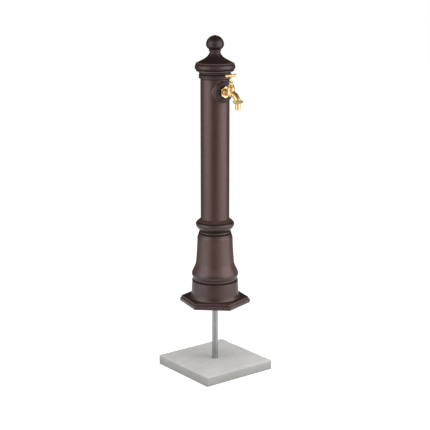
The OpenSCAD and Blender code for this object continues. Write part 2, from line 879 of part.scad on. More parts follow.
// Cast brass body: threaded tail, valve chamber with its seat, and the spout
module tap_body() {
  floor_w = 3 - chamber_low;
  color(brass)
    at_tap()
      difference() {
        union() {
          along_tap(tail_end)
            cylinder(r = tail_r, h = shoulder_u - tail_end + 1);
          along_tap(shoulder_u)
            rotate_extrude()
              polygon(neck_outline());
          translate([spindle_u, 0, 0])
            rotate_extrude()
              polygon(chamber_outline());
          difference() {
            bend(spout_r, 86 - spout_a1, 90 - spout_a0);
            translate([outlet_u, 0, -2 * spout_drop])
              cylinder(r = 2 * outlet_r, h = spout_drop);
          }
          translate([outlet_u, 0, -spout_drop])
            cylinder(r = outlet_r, h = outlet_len);
        }
        along_tap(tail_end - 1)
          cylinder(r = way_r, h = spindle_u - tail_end + 1);
        translate([spindle_u, 0, floor_w])
          cylinder(r = way_r + 0.1, h = valve_w - floor_w + 1);
        translate([spindle_u, 0, seat_w])
          ring(chamber_bore, way_r + seat_rim, chamber_top);
        translate([spindle_u, 0, valve_w])
          cylinder(r = chamber_bore - 0.2, h = chamber_top);
        for (a = [-25, 0, 25])
          translate([spindle_u, 0, spout_top - 3])
            rotate(a)
              translate([port_at, 0, 0])
                cylinder(r = port_r, h = valve_w - spout_top + 4);
        bend(spout_bore, 90 - spout_a1, 88 - spout_a0);
        translate([outlet_u, 0, -spout_drop - 1])
          cylinder(r = spout_bore + 0.6, h = 7);
      }
}

module wall_nut() {
  color(brass)
    at_tap()
      along_tap(boss_face)
        difference() {
          hex_bar(nut_af, nut_t, low = false);
          translate([0, 0, -1])
            cylinder(r = tail_r + fit_gap, h = nut_t + 2);
        }
}

module back_washer() {
  color(fibre)
    at_tap()
      along_tap(pad_face - back_t)
        ring(pad_r - 1, tail_r + fit_gap, back_t);
}

module back_nut() {
  color(brass)
    at_tap()
      along_tap(pad_face - back_t - back_nut_t)
        difference() {
          hex_bar(back_af, back_nut_t);
          translate([0, 0, -1])
            cylinder(r = tail_r + fit_gap, h = back_nut_t + 2);
        }
}

// Elbow on the tap's tail, turned down inside the shaft
module inlet_elbow() {
  rim = tail_r + 3.6;
  mouth = pad_face - back_t - back_nut_t - 2;
  color(brass)
    at_tap()
      difference() {
        union() {
          along_tap(elbow_u - rim + 1)
            cylinder(r = rim, h = mouth - elbow_u + rim - 1);
          translate([elbow_u, 0, elbow_low])
            cylinder(r = rim - 1, h = -elbow_low);
        }
        along_tap(tail_end)
          cylinder(r = tail_r + fit_gap, h = mouth);
        along_tap(elbow_u)
          cylinder(r = way_r, h = mouth);
        translate([elbow_u, 0, elbow_low - 1])
          cylinder(r = way_r + 0.1, h = 1 - elbow_low);
        translate([elbow_u, 0, elbow_low - 1])
          cylinder(r = way_r + 2, h = 13);
      }
}

module inlet_nipple() {
  color(brass)
    at_tap()
      translate([elbow_u, 0, elbow_low])
        mirror([0, 0, 1])
          difference() {
            union() {
              translate([0, 0, -11])
                cylinder(r = way_r + 2 - fit_gap, h = 12);
              hex_bar(nipple_af - 4, nipple_hex);
              translate([0, 0, nipple_hex])
                rotate_extrude()
                  polygon(stem_outline(nipple_r, nipple_bore, nipple_len, hose_groove));
            }
            translate([0, 0, -12])
              cylinder(r = nipple_bore, h = nipple_hex + 13);
          }
}

// Headgear of the tap: thread, hexagon and neck around the spindle
module bonnet() {
  color(brass)
    at_valve()
      difference() {
        union() {
          translate([0, 0, chamber_top - bonnet_screw])
            cylinder(r = chamber_bore - fit_gap, h = bonnet_screw + gasket_t + 1);
          translate([0, 0, bonnet_w])
            hex_bar(bonnet_af, bonnet_hex);
          translate([0, 0, bonnet_w + bonnet_hex - 1])
            cylinder(r = bonnet_neck, h = bonnet_neck_h + 1);
        }
        translate([0, 0, chamber_top - bonnet_screw - 1])
          cylinder(r = room_r, h = room_top - chamber_top + bonnet_screw + 1);
        translate([0, 0, chamber_top])
          cylinder(r = screw_r + run_gap, h = packing_w - 0.5 - chamber_top);
        translate([0, 0, chamber_top])
          cylinder(r = stem_r + run_gap, h = bonnet_top);
        translate([0, 0, packing_w])
          cylinder(r = bonnet_neck - 1.6, h = packing_room + 1);
      }
}

module bonnet_gasket() {
  color(fibre)
    at_valve()
      translate([0, 0, chamber_top])
        ring(chamber_r - 1.4, chamber_bore + fit_gap, gasket_t);
}

module gland_packing() {
  color(nylon)
    at_valve()
      translate([0, 0, packing_w])
        ring(bonnet_neck - 1.6 - fit_gap, stem_r + run_gap, packing_room - gland_in);
}

module gland_nut() {
  color(brass)
    at_valve()
      difference() {
        union() {
          translate([0, 0, bonnet_top - gland_in])
            cylinder(r = bonnet_neck - 1.6 - fit_gap, h = gland_in + 1);
          translate([0, 0, bonnet_top])
            hex_bar(gland_af, gland_h - gland_cone, low = false);
          translate([0, 0, gland_top - gland_cone - 0.3])
            cylinder(r1 = gland_af / 2 - 0.6, r2 = stem_r + 1.1, h = gland_cone + 0.3);
        }
        translate([0, 0, bonnet_top - gland_in - 1])
          cylinder(r = stem_r + run_gap, h = gland_in + gland_h + 2);
      }
}

module union_nut() {
  color(brass)
    at_outlet()
      translate([0, 0, union_w])
        difference() {
          union() {
            translate([0, 0, union_cone])
              hex_bar(union_af, union_h - union_cone);
            cylinder(r1 = hose_r + 2.4, r2 = union_af / 2 - 0.2, h = union_cone + 0.3);
          }
          translate([0, 0, -1])
            cylinder(r = hose_r + hole_gap, h = union_h + 2);
          translate([0, 0, union_lip])
            cylinder(r = outlet_r + fit_gap, h = union_h);
        }
}

module union_washer() {
  color(rubber)
    at_outlet()
      translate([0, 0, -spout_drop - union_washer_t])
        ring(outlet_r - 0.6, hose_bore, union_washer_t);
}

function hose_outline() =
  let (top = hose_len + union_lip, step = hose_len / 4)
  concat(
    [[hose_bore, 0], [hose_r - 0.8, 0], [hose_r, 1]],
    [for (k = [1 : 3]) each [
      [hose_r, step * k - 2.5 * hose_groove],
      [hose_r - hose_groove, step * k],
      [hose_r, step * k + 0.5 * hose_groove]
    ]],
    [[hose_r, hose_len - 0.6], [hose_r - 0.4, hose_len - 0.2], [hose_r - 0.4, top]],
    [[outlet_r - 0.6, top], [outlet_r - 0.6, top + tail_flange], [hose_bore, top + tail_flange]]
  );

module hose_tail() {
  color(brass)
    at_outlet()
      translate([0, 0, hose_end])
        rotate_extrude()
          polygon(hose_outline());
}

module jumper() {
  color(brass)
    at_valve() {
      translate([0, 0, plate_w])
        cylinder(r = washer_r + 0.1, h = jumper_t);
      translate([0, 0, spindle_w - 1])
        cylinder(r = jumper_pin, h = jumper_up + 1);
      translate([0, 0, valve_w - 2.6])
        cylinder(r = 2, h = washer_t + 4);
    }
}

module valve_washer() {
  color(rubber)
    at_valve()
      translate([0, 0, valve_w])
        ring(washer_r, 2 + fit_gap, washer_t);
}

module washer_nut() {
  color(brass)
    at_valve()
      translate([0, 0, valve_w - 2.4])
        difference() {
          hex_bar(7, 2.4);
          translate([0, 0, -1])
            cylinder(r = 2 + fit_gap, h = 5);
        }
}

// Spindle: head over the jumper's pin, thread in the bonnet, stem up into the handle
module spindle() {
  color(brass)
    at_valve()
      difference() {
        union() {
          translate([0, 0, spindle_w])
            cylinder(r = screw_r, h = screw_top - spindle_w);
          translate([0, 0, screw_top - 1])
            cylinder(r = stem_r, h = hub_w - screw_top + 2);
          translate([0, 0, hub_w])
            cylinder(r = stem_r - 0.6, h = hub_top - hub_w - 1.5);
        }
        translate([0, 0, spindle_w - 1])
          cylinder(r = jumper_pin + run_gap, h = jumper_up + 1.5);
        translate([0, 0, hub_top - 8.5])
          cylinder(r = 1.5 + fit_gap, h = 10);
      }
}

function bar_outline() =
  let (end = bar_l / 2)
  concat(
    [[0, -end]],
    arc(bar_r - 3.6, 3.6 - end, 3.6, 3.6, -80, 0, 6),
    curve([bar_r, 5 - end], [bar_r, 13 - end], [bar_waist, 12 - end], [bar_waist, -handle_hub], 8),
    curve([bar_waist, handle_hub], [bar_waist, end - 12], [bar_r, end - 13], [bar_r, end - 5], 8),
    arc(bar_r - 3.6, end - 3.6, 3.6, 3.6, 0, 80, 6),
    [[0, end]]
  );

// T-handle: a bar with rounded ends across a short hub
module tee_handle() {
  color(brass)
    at_valve()
      difference() {
        union() {
          rotate(handle_rest)
            translate([0, 0, bar_w])
              rotate([90, 0, 0])
                rotate_extrude()
                  polygon(bar_outline());
          rotate_extrude()
            polygon([
              [0, hub_w + 1], [stem_r + 1, hub_w + 1], [handle_hub, bar_w - 2],
              [handle_hub, hub_top - 1], [handle_hub - 1, hub_top], [0, hub_top]
            ]);
        }
        translate([0, 0, hub_w])
          cylinder(r = stem_r - 0.6 + fit_gap, h = hub_top - hub_w + 1);
      }
}

module handle_screw() {
  color(steel)
    at_valve()
      difference() {
        union() {
          translate([0, 0, hub_top - 8])
            cylinder(r = 1.5, h = 9);
          translate([0, 0, hub_top])
            rotate_extrude()
              polygon(concat([[0, 0], [3.6, 0]], arc(0, 0.4, 3.6, 1.6, 0, 86, 5), [[0, 2]]));
        }
        translate([-5, -0.4, hub_top + 1.2])
          cube([10, 0.8, 2]);
      }
}

paving_slab();
supply_pipe();
inlet_socket();
supply_nipple();
foot();
guide();
guide_bush();
guide_screws();
foot_bolts();
pedestal();
collar();
shaft_screws();
shaft();
cap();
finial();
cap_rod();
cap_bridge();
bridge_nut();
tap_body();
wall_nut();
back_washer();
back_nut();
inlet_elbow();
inlet_nipple();
bonnet();
bonnet_gasket();
gland_packing();
gland_nut();
union_nut();
union_washer();
hose_tail();
jumper();
valve_washer();
washer_nut();
spindle();
tee_handle();
handle_screw();
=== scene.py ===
import math
import random

import bmesh
import bpy
from mathutils import Matrix, Vector, noise


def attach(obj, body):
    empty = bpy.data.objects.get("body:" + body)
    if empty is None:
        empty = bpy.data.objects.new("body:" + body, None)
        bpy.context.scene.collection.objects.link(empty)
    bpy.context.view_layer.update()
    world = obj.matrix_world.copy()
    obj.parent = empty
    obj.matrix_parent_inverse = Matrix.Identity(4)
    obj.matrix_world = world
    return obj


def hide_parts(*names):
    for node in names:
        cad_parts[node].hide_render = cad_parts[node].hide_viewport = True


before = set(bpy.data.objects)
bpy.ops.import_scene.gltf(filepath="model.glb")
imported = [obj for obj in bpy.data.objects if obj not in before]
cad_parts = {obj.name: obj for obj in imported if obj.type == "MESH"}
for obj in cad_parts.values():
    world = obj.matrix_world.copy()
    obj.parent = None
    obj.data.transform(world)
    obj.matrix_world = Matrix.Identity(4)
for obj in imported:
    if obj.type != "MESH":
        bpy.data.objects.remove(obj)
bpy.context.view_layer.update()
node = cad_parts

# Concrete paving slab that the supply pipe comes up through.
# Wet cast in a mould, so the faces are level, the arrises are a little worn and the top is cloudy.
SLAB_SIDE, SLAB_HALF, SLAB_TOP, SLAB_CORNER, SLAB_ARRIS = 300, 150, 35, 3, 2
PIPE_HOLE, SOCKET_HOLE, SOCKET_TOP = 11.05, 13.95, 28
MM = 0.001


def tone(red, green, blue):
    """A colour as it is read from a picture, for a colour socket."""
    plain = [c / 255 for c in (red, green, blue)]
    return tuple(c / 12.92 if c < 0.04 else ((c + 0.055) / 1.055) ** 2.4 for c in plain) + (1.0,)


def add(tree, kind, inputs=None, **settings):
    """A node with its settings, and with its inputs linked or set."""
    made = tree.nodes.new(kind)
    for name, value in settings.items():
        setattr(made, name, value)
    for key, value in (inputs or {}).items():
        if isinstance(value, bpy.types.NodeSocket):
            tree.links.new(value, made.inputs[key])
        else:
            made.inputs[key].default_value = value
    return made


def calc(tree, how, a, b=0.0):
    """The result of a sum on one or two values."""
    return add(tree, "ShaderNodeMath", {0: a, 1: b}, operation=how).outputs[0]


def blend(tree, share, a, b, how="MIX"):
    """One colour laid over another."""
    return add(tree, "ShaderNodeMix", {0: share, 6: a, 7: b}, data_type="RGBA", blend_type=how).outputs[2]


def ramp(tree, value, *stops):
    """A value or colour read from stops of (place, value or colour)."""
    made = add(tree, "ShaderNodeValToRGB", {0: value})
    stop_list = made.color_ramp.elements
    while len(stop_list) < len(stops):
        stop_list.new(0.5)
    for slot, (place, what) in zip(stop_list, sorted(stops, key=lambda s: s[0])):
        slot.position = place
        slot.color = what if isinstance(what, tuple) else (what, what, what, 1.0)
    return made.outputs[0]


def cloud(tree, place, scale, detail=3.0, stretch=None):
    """Noise from 0 to 1, drawn out along an axis where stretch is given."""
    if stretch:
        place = add(tree, "ShaderNodeMapping", {"Vector": place, "Scale": stretch}).outputs[0]
    return add(tree, "ShaderNodeTexNoise", {"Vector": place, "Scale": scale, "Detail": detail}).outputs[0]


def shader_group(name, inputs, outputs):
    """An empty shader group with named sockets, and its two ends."""
    tree = bpy.data.node_groups.new(name, "ShaderNodeTree")
    for label, kind in inputs.items():
        tree.interface.new_socket(label, in_out="INPUT", socket_type=kind)
    for label, kind in outputs.items():
        tree.interface.new_socket(label, in_out="OUTPUT", socket_type=kind)
    return tree, add(tree, "NodeGroupInput"), add(tree, "NodeGroupOutput")


def new_finish(name, **sockets):
    """A material with one shader, and the object's own coordinates for its patterns."""
    made = bpy.data.materials.new(name)
    made.use_nodes = True
    tree = made.node_tree
    tree.nodes.clear()
    shader = add(tree, "ShaderNodeBsdfPrincipled", {k.replace("_", " "): v for k, v in sockets.items()})
    add(tree, "ShaderNodeOutputMaterial", {"Surface": shader.outputs[0]})
    return made, tree, shader, add(tree, "ShaderNodeTexCoord").outputs["Object"]


def relief(tree, shader, height, depth):
    """Fine height on a surface, in metres."""
    bump = add(tree, "ShaderNodeBump", {"Height": height, "Distance": depth, "Strength": 1.0})
    tree.links.new(bump.outputs[0], shader.inputs["Normal"])


# Weathering that every finish shares: broad clouds, fine grain, and runs that water draws down.
weather, weather_in, weather_out = shader_group(
    "weather",
    {"Place": "NodeSocketVector", "Size": "NodeSocketFloat"},
    {"Clouds": "NodeSocketFloat", "Grain": "NodeSocketFloat", "Runs": "NodeSocketFloat"})
weather_place = add(weather, "ShaderNodeVectorMath",
                    {0: weather_in.outputs["Place"], "Scale": weather_in.outputs["Size"]},
                    operation="SCALE").outputs[0]
for label, made in (("Clouds", cloud(weather, weather_place, 1.0, 5.0)),
                    ("Grain", cloud(weather, weather_place, 14.0, 4.0)),
                    ("Runs", cloud(weather, weather_place, 1.0, 4.0, (9.0, 9.0, 0.35)))):
    weather.links.new(made, weather_out.inputs[label])


def weathering(tree, place, size):
    """The shared weathering, drawn at its own size."""
    made = tree.nodes.new("ShaderNodeGroup")
    made.node_tree = weather
    tree.links.new(place, made.inputs["Place"])
    made.inputs["Size"].default_value = size
    return made.outputs


def new_piece(name, mesh, finish, body, slot, *stands_for):
    """A finished piece at the origin, riding its body."""
    piece = bpy.data.objects.new(name, mesh)
    bpy.context.scene.collection.objects.link(piece)
    piece.data.materials.clear()
    piece.data.materials.append(finish)
    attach(piece, body)
    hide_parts(*stands_for)
    return piece


def skin(name, rings, sharp=32, closed=True):
    """A mesh over rings of points in millimetres, each ring with the same count."""
    work = bmesh.new()
    rows = [[work.verts.new(Vector(p) * MM) for p in ring] for ring in rings]
    count = len(rows[0])
    pairs = list(zip(rows, rows[1:] + rows[:1])) if closed else list(zip(rows, rows[1:]))
    for low, high in pairs:
        for i in range(count):
            k = (i + 1) % count
            work.faces.new((low[i], low[k], high[k], high[i]))
    return settled(work, name, sharp)


def settled(work, name, sharp):
    """Closes seams and poles, points the faces outwards and sets which edges stay crisp."""
    bmesh.ops.remove_doubles(work, verts=work.verts, dist=1e-6)
    bmesh.ops.dissolve_degenerate(work, edges=work.edges, dist=1e-7)
    bmesh.ops.recalc_face_normals(work, faces=work.faces)
    mesh = bpy.data.meshes.new(name)
    work.to_mesh(mesh)
    work.free()
    mesh.shade_smooth()
    mesh.set_sharp_from_angle(angle=math.radians(sharp))
    return mesh


slab_chance = random.Random(11)
slab_chips = [(slab_chance.uniform(0, 4 * SLAB_SIDE), slab_chance.uniform(1.5, 5), slab_chance.uniform(0.4, 2.4))
              for _ in range(46)]
slab_edge = []
for quarter in range(4):
    turn_by = Matrix.Rotation(quarter * math.pi / 2, 2)
    flat_half = SLAB_HALF - SLAB_CORNER
    for i in range(120):
        along = -flat_half + 2 * flat_half * i / 120
        slab_edge.append((turn_by @ Vector((SLAB_HALF, along)), quarter * SLAB_SIDE + along + SLAB_HALF))
    for i in range(6):
        bow = math.radians(90 * i / 6)
        spot = Vector((flat_half + SLAB_CORNER * math.cos(bow), flat_half + SLAB_CORNER * math.sin(bow)))
        slab_edge.append((turn_by @ spot, quarter * SLAB_SIDE + SLAB_SIDE - 1 + i / 6))


def slab_wear(along):
    """How far the arris is worn back at a place round the slab."""
    worn = SLAB_ARRIS * (0.75 + 0.45 * noise.noise(Vector((along * 0.05, 3.1, 0))))
    for place, width, depth in slab_chips:
        worn += depth * math.exp(-((along - place) / width) ** 2)
    return worn


def slab_point(spot, inset, height):
    """A point over the slab, inset from its edge, with the level of the cast face."""
    reach = spot.length
    spot = spot * ((reach - inset) / reach)
    broad_swell = noise.noise(Vector((spot.x * 0.021, spot.y * 0.021, 5)))
    fine_swell = noise.noise(Vector((spot.x * 0.1, spot.y * 0.1, 9)))
    sunk = max(0, 0.28 + 0.22 * (broad_swell + 0.5 * fine_swell))
    return (spot.x, spot.y, height - sunk if height > SLAB_TOP - 1 else height)


slab_rings = []
for step in range(27):
    share = (step / 26) ** 0.9
    ring = []
    for spot, along in slab_edge:
        inner = spot.length - PIPE_HOLE
        ring.append(slab_point(spot, inner + (slab_wear(along) - inner) * share, SLAB_TOP))
    slab_rings.append(ring)
for drop, inset in ((0.35, 0.5), (0.75, 0.18), (1.0, 0.04)):
    slab_rings.append([slab_point(s, slab_wear(a) * inset, SLAB_TOP - 0.5 - 0.9 * slab_wear(a) * drop)
                       for s, a in slab_edge])
for height in (29, 24, 19, 14, 9, 5, 2):
    slab_rings.append([slab_point(s, 0.15 + 0.15 * noise.noise(Vector((a * 0.06, height * 0.1, 1))), height)
                       for s, a in slab_edge])
slab_rings.append([slab_point(s, 0.6, 0.4) for s, a in slab_edge])
slab_rings.append([slab_point(s, 1.4, 0) for s, a in slab_edge])
for radius, height in ((60, 0), (SOCKET_HOLE, 0), (SOCKET_HOLE, SOCKET_TOP), (PIPE_HOLE, SOCKET_TOP)):
    slab_rings.append([(s.x / s.length * radius, s.y / s.length * radius, height) for s, a in slab_edge])

concrete, tree, shader, place = new_finish("concrete")
broad = weathering(tree, place, 9.0)
fine = weathering(tree, place, 55.0)
drift = cloud(tree, place, 32.0, 5.0, (0.42, 1.0, 1.0))
pores = add(tree, "ShaderNodeTexVoronoi", {"Vector": place, "Scale": 150.0, "Randomness": 1.0}).outputs["Distance"]
pore_mask = calc(tree, "MULTIPLY", ramp(tree, pores, (0.07, 1.0), (0.16, 0.0)),
                 ramp(tree, cloud(tree, place, 24.0), (0.52, 0.0), (0.62, 1.0)))
shade = blend(tree, ramp(tree, broad["Clouds"], (0.3, 0.0), (0.72, 1.0)), tone(204, 203, 199), tone(222, 221, 218))
shade = blend(tree, ramp(tree, drift, (0.42, 0.0), (0.66, 0.42)), shade, tone(193, 191, 186))
shade = blend(tree, ramp(tree, fine["Grain"], (0.35, 0.0), (0.7, 0.35)), shade, tone(230, 229, 226))
shade = blend(tree, pore_mask, shade, tone(138, 135, 130))
height_up = calc(tree, "DIVIDE", add(tree, "ShaderNodeSeparateXYZ", {0: place}).outputs[2], SLAB_TOP * MM)
# Painted shade: the slab's sides are painted darker than its top, more so towards the bottom.
slab_side_painted_shade = ramp(tree, height_up, (0.05, 0.55), (0.5, 0.36), (0.92, 0.2), (0.97, 0.0))
shade = blend(tree, slab_side_painted_shade, shade, tone(150, 149, 147))
tree.links.new(shade, shader.inputs["Base Color"])
tree.links.new(ramp(tree, fine["Clouds"], (0.3, 0.78), (0.7, 0.95)), shader.inputs["Roughness"])
rough_height = calc(tree, "SUBTRACT", calc(tree, "ADD", fine["Grain"], fine["Clouds"]), pore_mask)
relief(tree, shader, rough_height, 0.0005)
new_piece("slab", skin("slab", slab_rings, 40), concrete, "ground", "concrete", "paving_slab")

# Grit in the slab's top: grains of sand that the trowel left standing a little proud.
# They are scattered over the cast face and bedded to half their depth.
grit_tree = bpy.data.node_groups.new("slab_grit", "GeometryNodeTree")
for label, kind in (("Geometry", "NodeSocketGeometry"), ("Density", "NodeSocketFloat"), ("Grain", "NodeSocketFloat"),
                    ("Finish", "NodeSocketMaterial")):
    grit_tree.interface.new_socket(label, in_out="INPUT", socket_type=kind)
grit_tree.interface.new_socket("Geometry", in_out="OUTPUT", socket_type="NodeSocketGeometry")
grit_in, grit_out = add(grit_tree, "NodeGroupInput"), add(grit_tree, "NodeGroupOutput")
spread = add(grit_tree, "GeometryNodeDistributePointsOnFaces",
             {"Mesh": grit_in.outputs["Geometry"], "Density": grit_in.outputs["Density"], "Seed": 5})
grain = add(grit_tree, "GeometryNodeMeshIcoSphere", {"Radius": grit_in.outputs["Grain"], "Subdivisions": 1})
grain_size = add(grit_tree, "FunctionNodeRandomValue", {0: (0.5, 0.5, 0.25), 1: (1.3, 1.0, 0.6), "Seed": 3},
                 data_type="FLOAT_VECTOR")
grain_turn = add(grit_tree, "FunctionNodeRandomValue", {0: (0, 0, 0), 1: (0.3, 0.3, 6.28), "Seed": 8},
                 data_type="FLOAT_VECTOR")
grains = add(grit_tree, "GeometryNodeInstanceOnPoints",
             {"Points": spread.outputs["Points"], "Instance": grain.outputs["Mesh"],
              "Rotation": grain_turn.outputs[0], "Scale": grain_size.outputs[0]})
loose = add(grit_tree, "GeometryNodeRealizeInstances", {0: grains.outputs[0]})
coated = add(grit_tree, "GeometryNodeSetMaterial", {0: loose.outputs[0], "Material": grit_in.outputs["Finish"]})
grit_tree.links.new(coated.outputs[0], grit_out.inputs[0])


def made_by_nodes(name, tree, start, **inputs):
    """The plain mesh that a geometry tree makes from a start object."""
    builder = bpy.data.objects.new(name + "_start", start)
    bpy.context.scene.collection.objects.link(builder)
    modifier = builder.modifiers.new("nodes", "NODES")
    modifier.node_group = tree
    for socket in tree.interface.items_tree:
        if socket.in_out == "INPUT" and socket.name in inputs:
            modifier[socket.identifier] = inputs[socket.name]
    shown = builder.evaluated_get(bpy.context.evaluated_depsgraph_get())
    mesh = bpy.data.meshes.new_from_object(shown)
    mesh.name = name
    bpy.data.objects.remove(builder)
    return mesh


grit_bed = skin("grit_bed", [[(r * math.cos(t), r * math.sin(t), SLAB_TOP - 0.45) for t in
                             [math.radians(a) for a in range(0, 360, 15)]] for r in (14, 80, 144)], closed=False)
grit = made_by_nodes("slab_grit", grit_tree, grit_bed, Density=9000.0, Grain=0.0006, Finish=concrete)
grit.shade_smooth()
new_piece("slab_grit", grit, concrete, "ground", "concrete")

# Half-inch steel supply pipe, hot dipped in zinc, screwed into a socket under the slab.
# A brass nipple in its upper end takes the inner hose.
PIPE_R, PIPE_BORE, PIPE_LOW, PIPE_TOP = 10.65, 8.05, 14, 625


def turned(outline, zero=0.0, count=128, angles=None):
    """Rings of a turned piece, from an outline of (radius, height)."""
    angles = angles or [2 * math.pi * i / count for i in range(count)]
    return [[(r * math.cos(t), r * math.sin(t), z + zero) for t in angles] for r, z in outline]


zinc, tree, shader, place = new_finish("zinc_dip", Metallic=1.0)
broad, fine = weathering(tree, place, 22.0), weathering(tree, place, 160.0)
spangle = add(tree, "ShaderNodeTexVoronoi", {"Vector": place, "Scale": 190.0}).outputs["Color"]
leaf = add(tree, "ShaderNodeSeparateColor", {0: spangle}).outputs[0]
shade = blend(tree, leaf, tone(150, 151, 152), tone(166, 167, 168))
shade = blend(tree, ramp(tree, broad["Runs"], (0.4, 0.0), (0.75, 0.6)), shade, tone(130, 130, 130))
shade = blend(tree, ramp(tree, broad["Clouds"], (0.52, 0.0), (0.72, 0.5)), shade, tone(178, 179, 179))
tree.links.new(shade, shader.inputs["Base Color"])
dulling = ramp(tree, broad["Clouds"], (0.3, 0.34), (0.7, 0.48))
tree.links.new(calc(tree, "ADD", calc(tree, "MULTIPLY", leaf, 0.16), dulling), shader.inputs["Roughness"])
relief(tree, shader, calc(tree, "ADD", fine["Clouds"], leaf), 0.00005)
pipe_outline = [(PIPE_BORE, PIPE_LOW), (PIPE_R - 0.8, PIPE_LOW), (PIPE_R, PIPE_LOW + 0.8)]
pipe_outline += [(PIPE_R, 36 + 12 * k) for k in range(48)]
pipe_outline += [(PIPE_R, PIPE_TOP - 1), (PIPE_R - 0.8, PIPE_TOP), (PIPE_BORE, PIPE_TOP)]
new_piece("supply_tube", skin("supply_tube", turned(pipe_outline, count=96)), zinc, "ground", "zinc", "supply_pipe")


def coat(finish, *names):
    """Gives CAD nodes their finish."""
    for name in names:
        node[name].material_slots[0].material = finish


coat(zinc, "inlet_socket")

# Foot of the column: a hexagonal plinth in two stepped bands and a round drum, one iron casting.
# Hollow underneath, with ribs behind the plinth's corners, and painted with the rest of the column.
FOOT_Z, HEX_TURN, DRUM_R, DRUM_LOW, COVE, COVE_H, FOOT_H = 255, -42.5, 84, 86, 5.5, 25, 88
RIB_AT, RIB_SIZE = (102, 0, 263.5), (0.036, 0.005, 0.0159)


def arc(x, z, rx, rz, start, end, steps=12):
    """Points along part of an ellipse, in degrees."""
    spots = [math.radians(start + (end - start) * i / steps) for i in range(steps + 1)]
    return [(x + rx * math.cos(t), z + rz * math.sin(t)) for t in spots]


def curve(a, b, c, d, steps=24):
    """Points along a cubic curve."""
    made = []
    for i in range(steps + 1):
        t = i / steps
        u = 1 - t
        pull = (u ** 3, 3 * u * u * t, 3 * u * t * t, t ** 3)
        made.append(tuple(pull[0] * a[k] + pull[1] * b[k] + pull[2] * c[k] + pull[3] * d[k] for k in (0, 1)))
    return made


def hex_reach(across, angle, corner_at, softness=260):
    """Distance to the edge of a hexagon with slightly rounded corners."""
    total = 0.0
    for k in range(6):
        facing = math.cos(angle - math.radians(corner_at + 30 + 60 * k))
        total += max(0.0, facing) ** softness
    return across / 2 * total ** (-1 / softness)


hex_steps = [0, 0.3, 0.6, 1, 1.6, 2.5, 4] + [4 + 2.9 * k for k in range(1, 9)] + [30]
hex_angles = []
for k in range(6):
    corner = HEX_TURN + 60 * k
    hex_angles += [math.radians(corner + s) for s in hex_steps[:-1]]
    hex_angles += [math.radians(corner + 60 - s) for s in hex_steps[:0:-1]]


def hex_ring(across, height, zero):
    """One ring of the plinth, by its size across the flats."""
    reach = [hex_reach(across, t, HEX_TURN) for t in hex_angles]
    return [(r * math.cos(t), r * math.sin(t), height + zero) for r, t in zip(reach, hex_angles)]


foot_rings = [hex_ring(a, z, FOOT_Z) for a, z in (
    (209, 16), (209, 0.6), (210.2, 0), (223.4, 0), (224.5, 0.4), (225, 1.2), (225, 11.1), (224.7, 11.7),
    (222.4, 12.85), (221.8, 13), (217.2, 13), (216.4, 13.2), (216, 13.8), (216, 19.2), (215.6, 19.8),
    (213.4, 20.9), (212.6, 21), (206, 21), (198, 21))]
foot_rings += turned([(DRUM_LOW + COVE + 2, 21)] + arc(DRUM_LOW + COVE, 21 + COVE_H, COVE, COVE_H, 270, 180, 18)
                     + [(85.6, 55), (85.0, 68)] + arc(DRUM_R - 1.8, FOOT_H - 1.8, 1.8, 1.8, 0, 90, 6)
                     + [(58.6, 88), (58, 87.4), (58, 82), (78, 82), (78, 36), (81, 36), (81, 0.5),
                        (81.6, 0), (85.4, 0), (86, 0.6), (86, 16)], FOOT_Z, angles=hex_angles)
foot_mesh = skin("foot_casting", foot_rings, 34)
work = bmesh.new()
work.from_mesh(foot_mesh)
for k in range(6):
    turn_by = Matrix.Rotation(math.radians(HEX_TURN + 60 * k), 4, "Z")
    place_at = turn_by @ Matrix.Translation(Vector(RIB_AT) * MM)
    bmesh.ops.create_cube(work, size=1.0, matrix=place_at @ Matrix.Diagonal((*RIB_SIZE, 1)))
foot_mesh = settled(work, "foot_casting", 34)

# Semi-gloss brown iron paint: a brushed film with a faint peel, duller on the roof, with painted shade in the joints
# and grooves, on the cap, on up-facing ledges and under the bell and the collar, painted highlights on the rim's and
# plinth's edges, and the pedestal painted lighter.
paint, tree, shader, place = new_finish("iron_paint", IOR=1.57, Specular_Tint=(1.0, 0.84, 0.87, 1.0))
broad, fine = weathering(tree, place, 8.0), weathering(tree, place, 60.0)
spot = add(tree, "ShaderNodeSeparateXYZ", {0: place}).outputs
COLUMN_LOW, COLUMN_TALL = 0.255, 0.98
DRUM_JOINT, COLLAR_JOINT, CAP_JOINT, RIM_JOINT, COLLAR_BROW = 0.3425, 0.5180, 1.0945, 1.1120, 0.5598
CAP_GROOVES, RING_GROOVES, FAINT_GROOVES = (1.0795, 1.1026, 1.1300), (1.1738, 1.1810), (0.3525, 0.5295)
EDGE_HIGHLIGHT_HEIGHTS, BELL_LIP, COLLAR_HOLLOW, PLINTH_TOP = (1.1072, 1.1342, 1.1775), 0.3625, 0.5435, 0.2765
rise = calc(tree, "DIVIDE", calc(tree, "SUBTRACT", spot[2], COLUMN_LOW), COLUMN_TALL)


def bands(half, *heights):
    """A mask for level bands round the casting at these heights, of this half width."""
    gap = calc(tree, "ABSOLUTE", calc(tree, "SUBTRACT", spot[2], heights[0]))
    for z in heights[1:]:
        gap = calc(tree, "MINIMUM", gap, calc(tree, "ABSOLUTE", calc(tree, "SUBTRACT", spot[2], z)))
    return ramp(tree, calc(tree, "DIVIDE", gap, half), (0.5, 1.0), (1.0, 0.0))
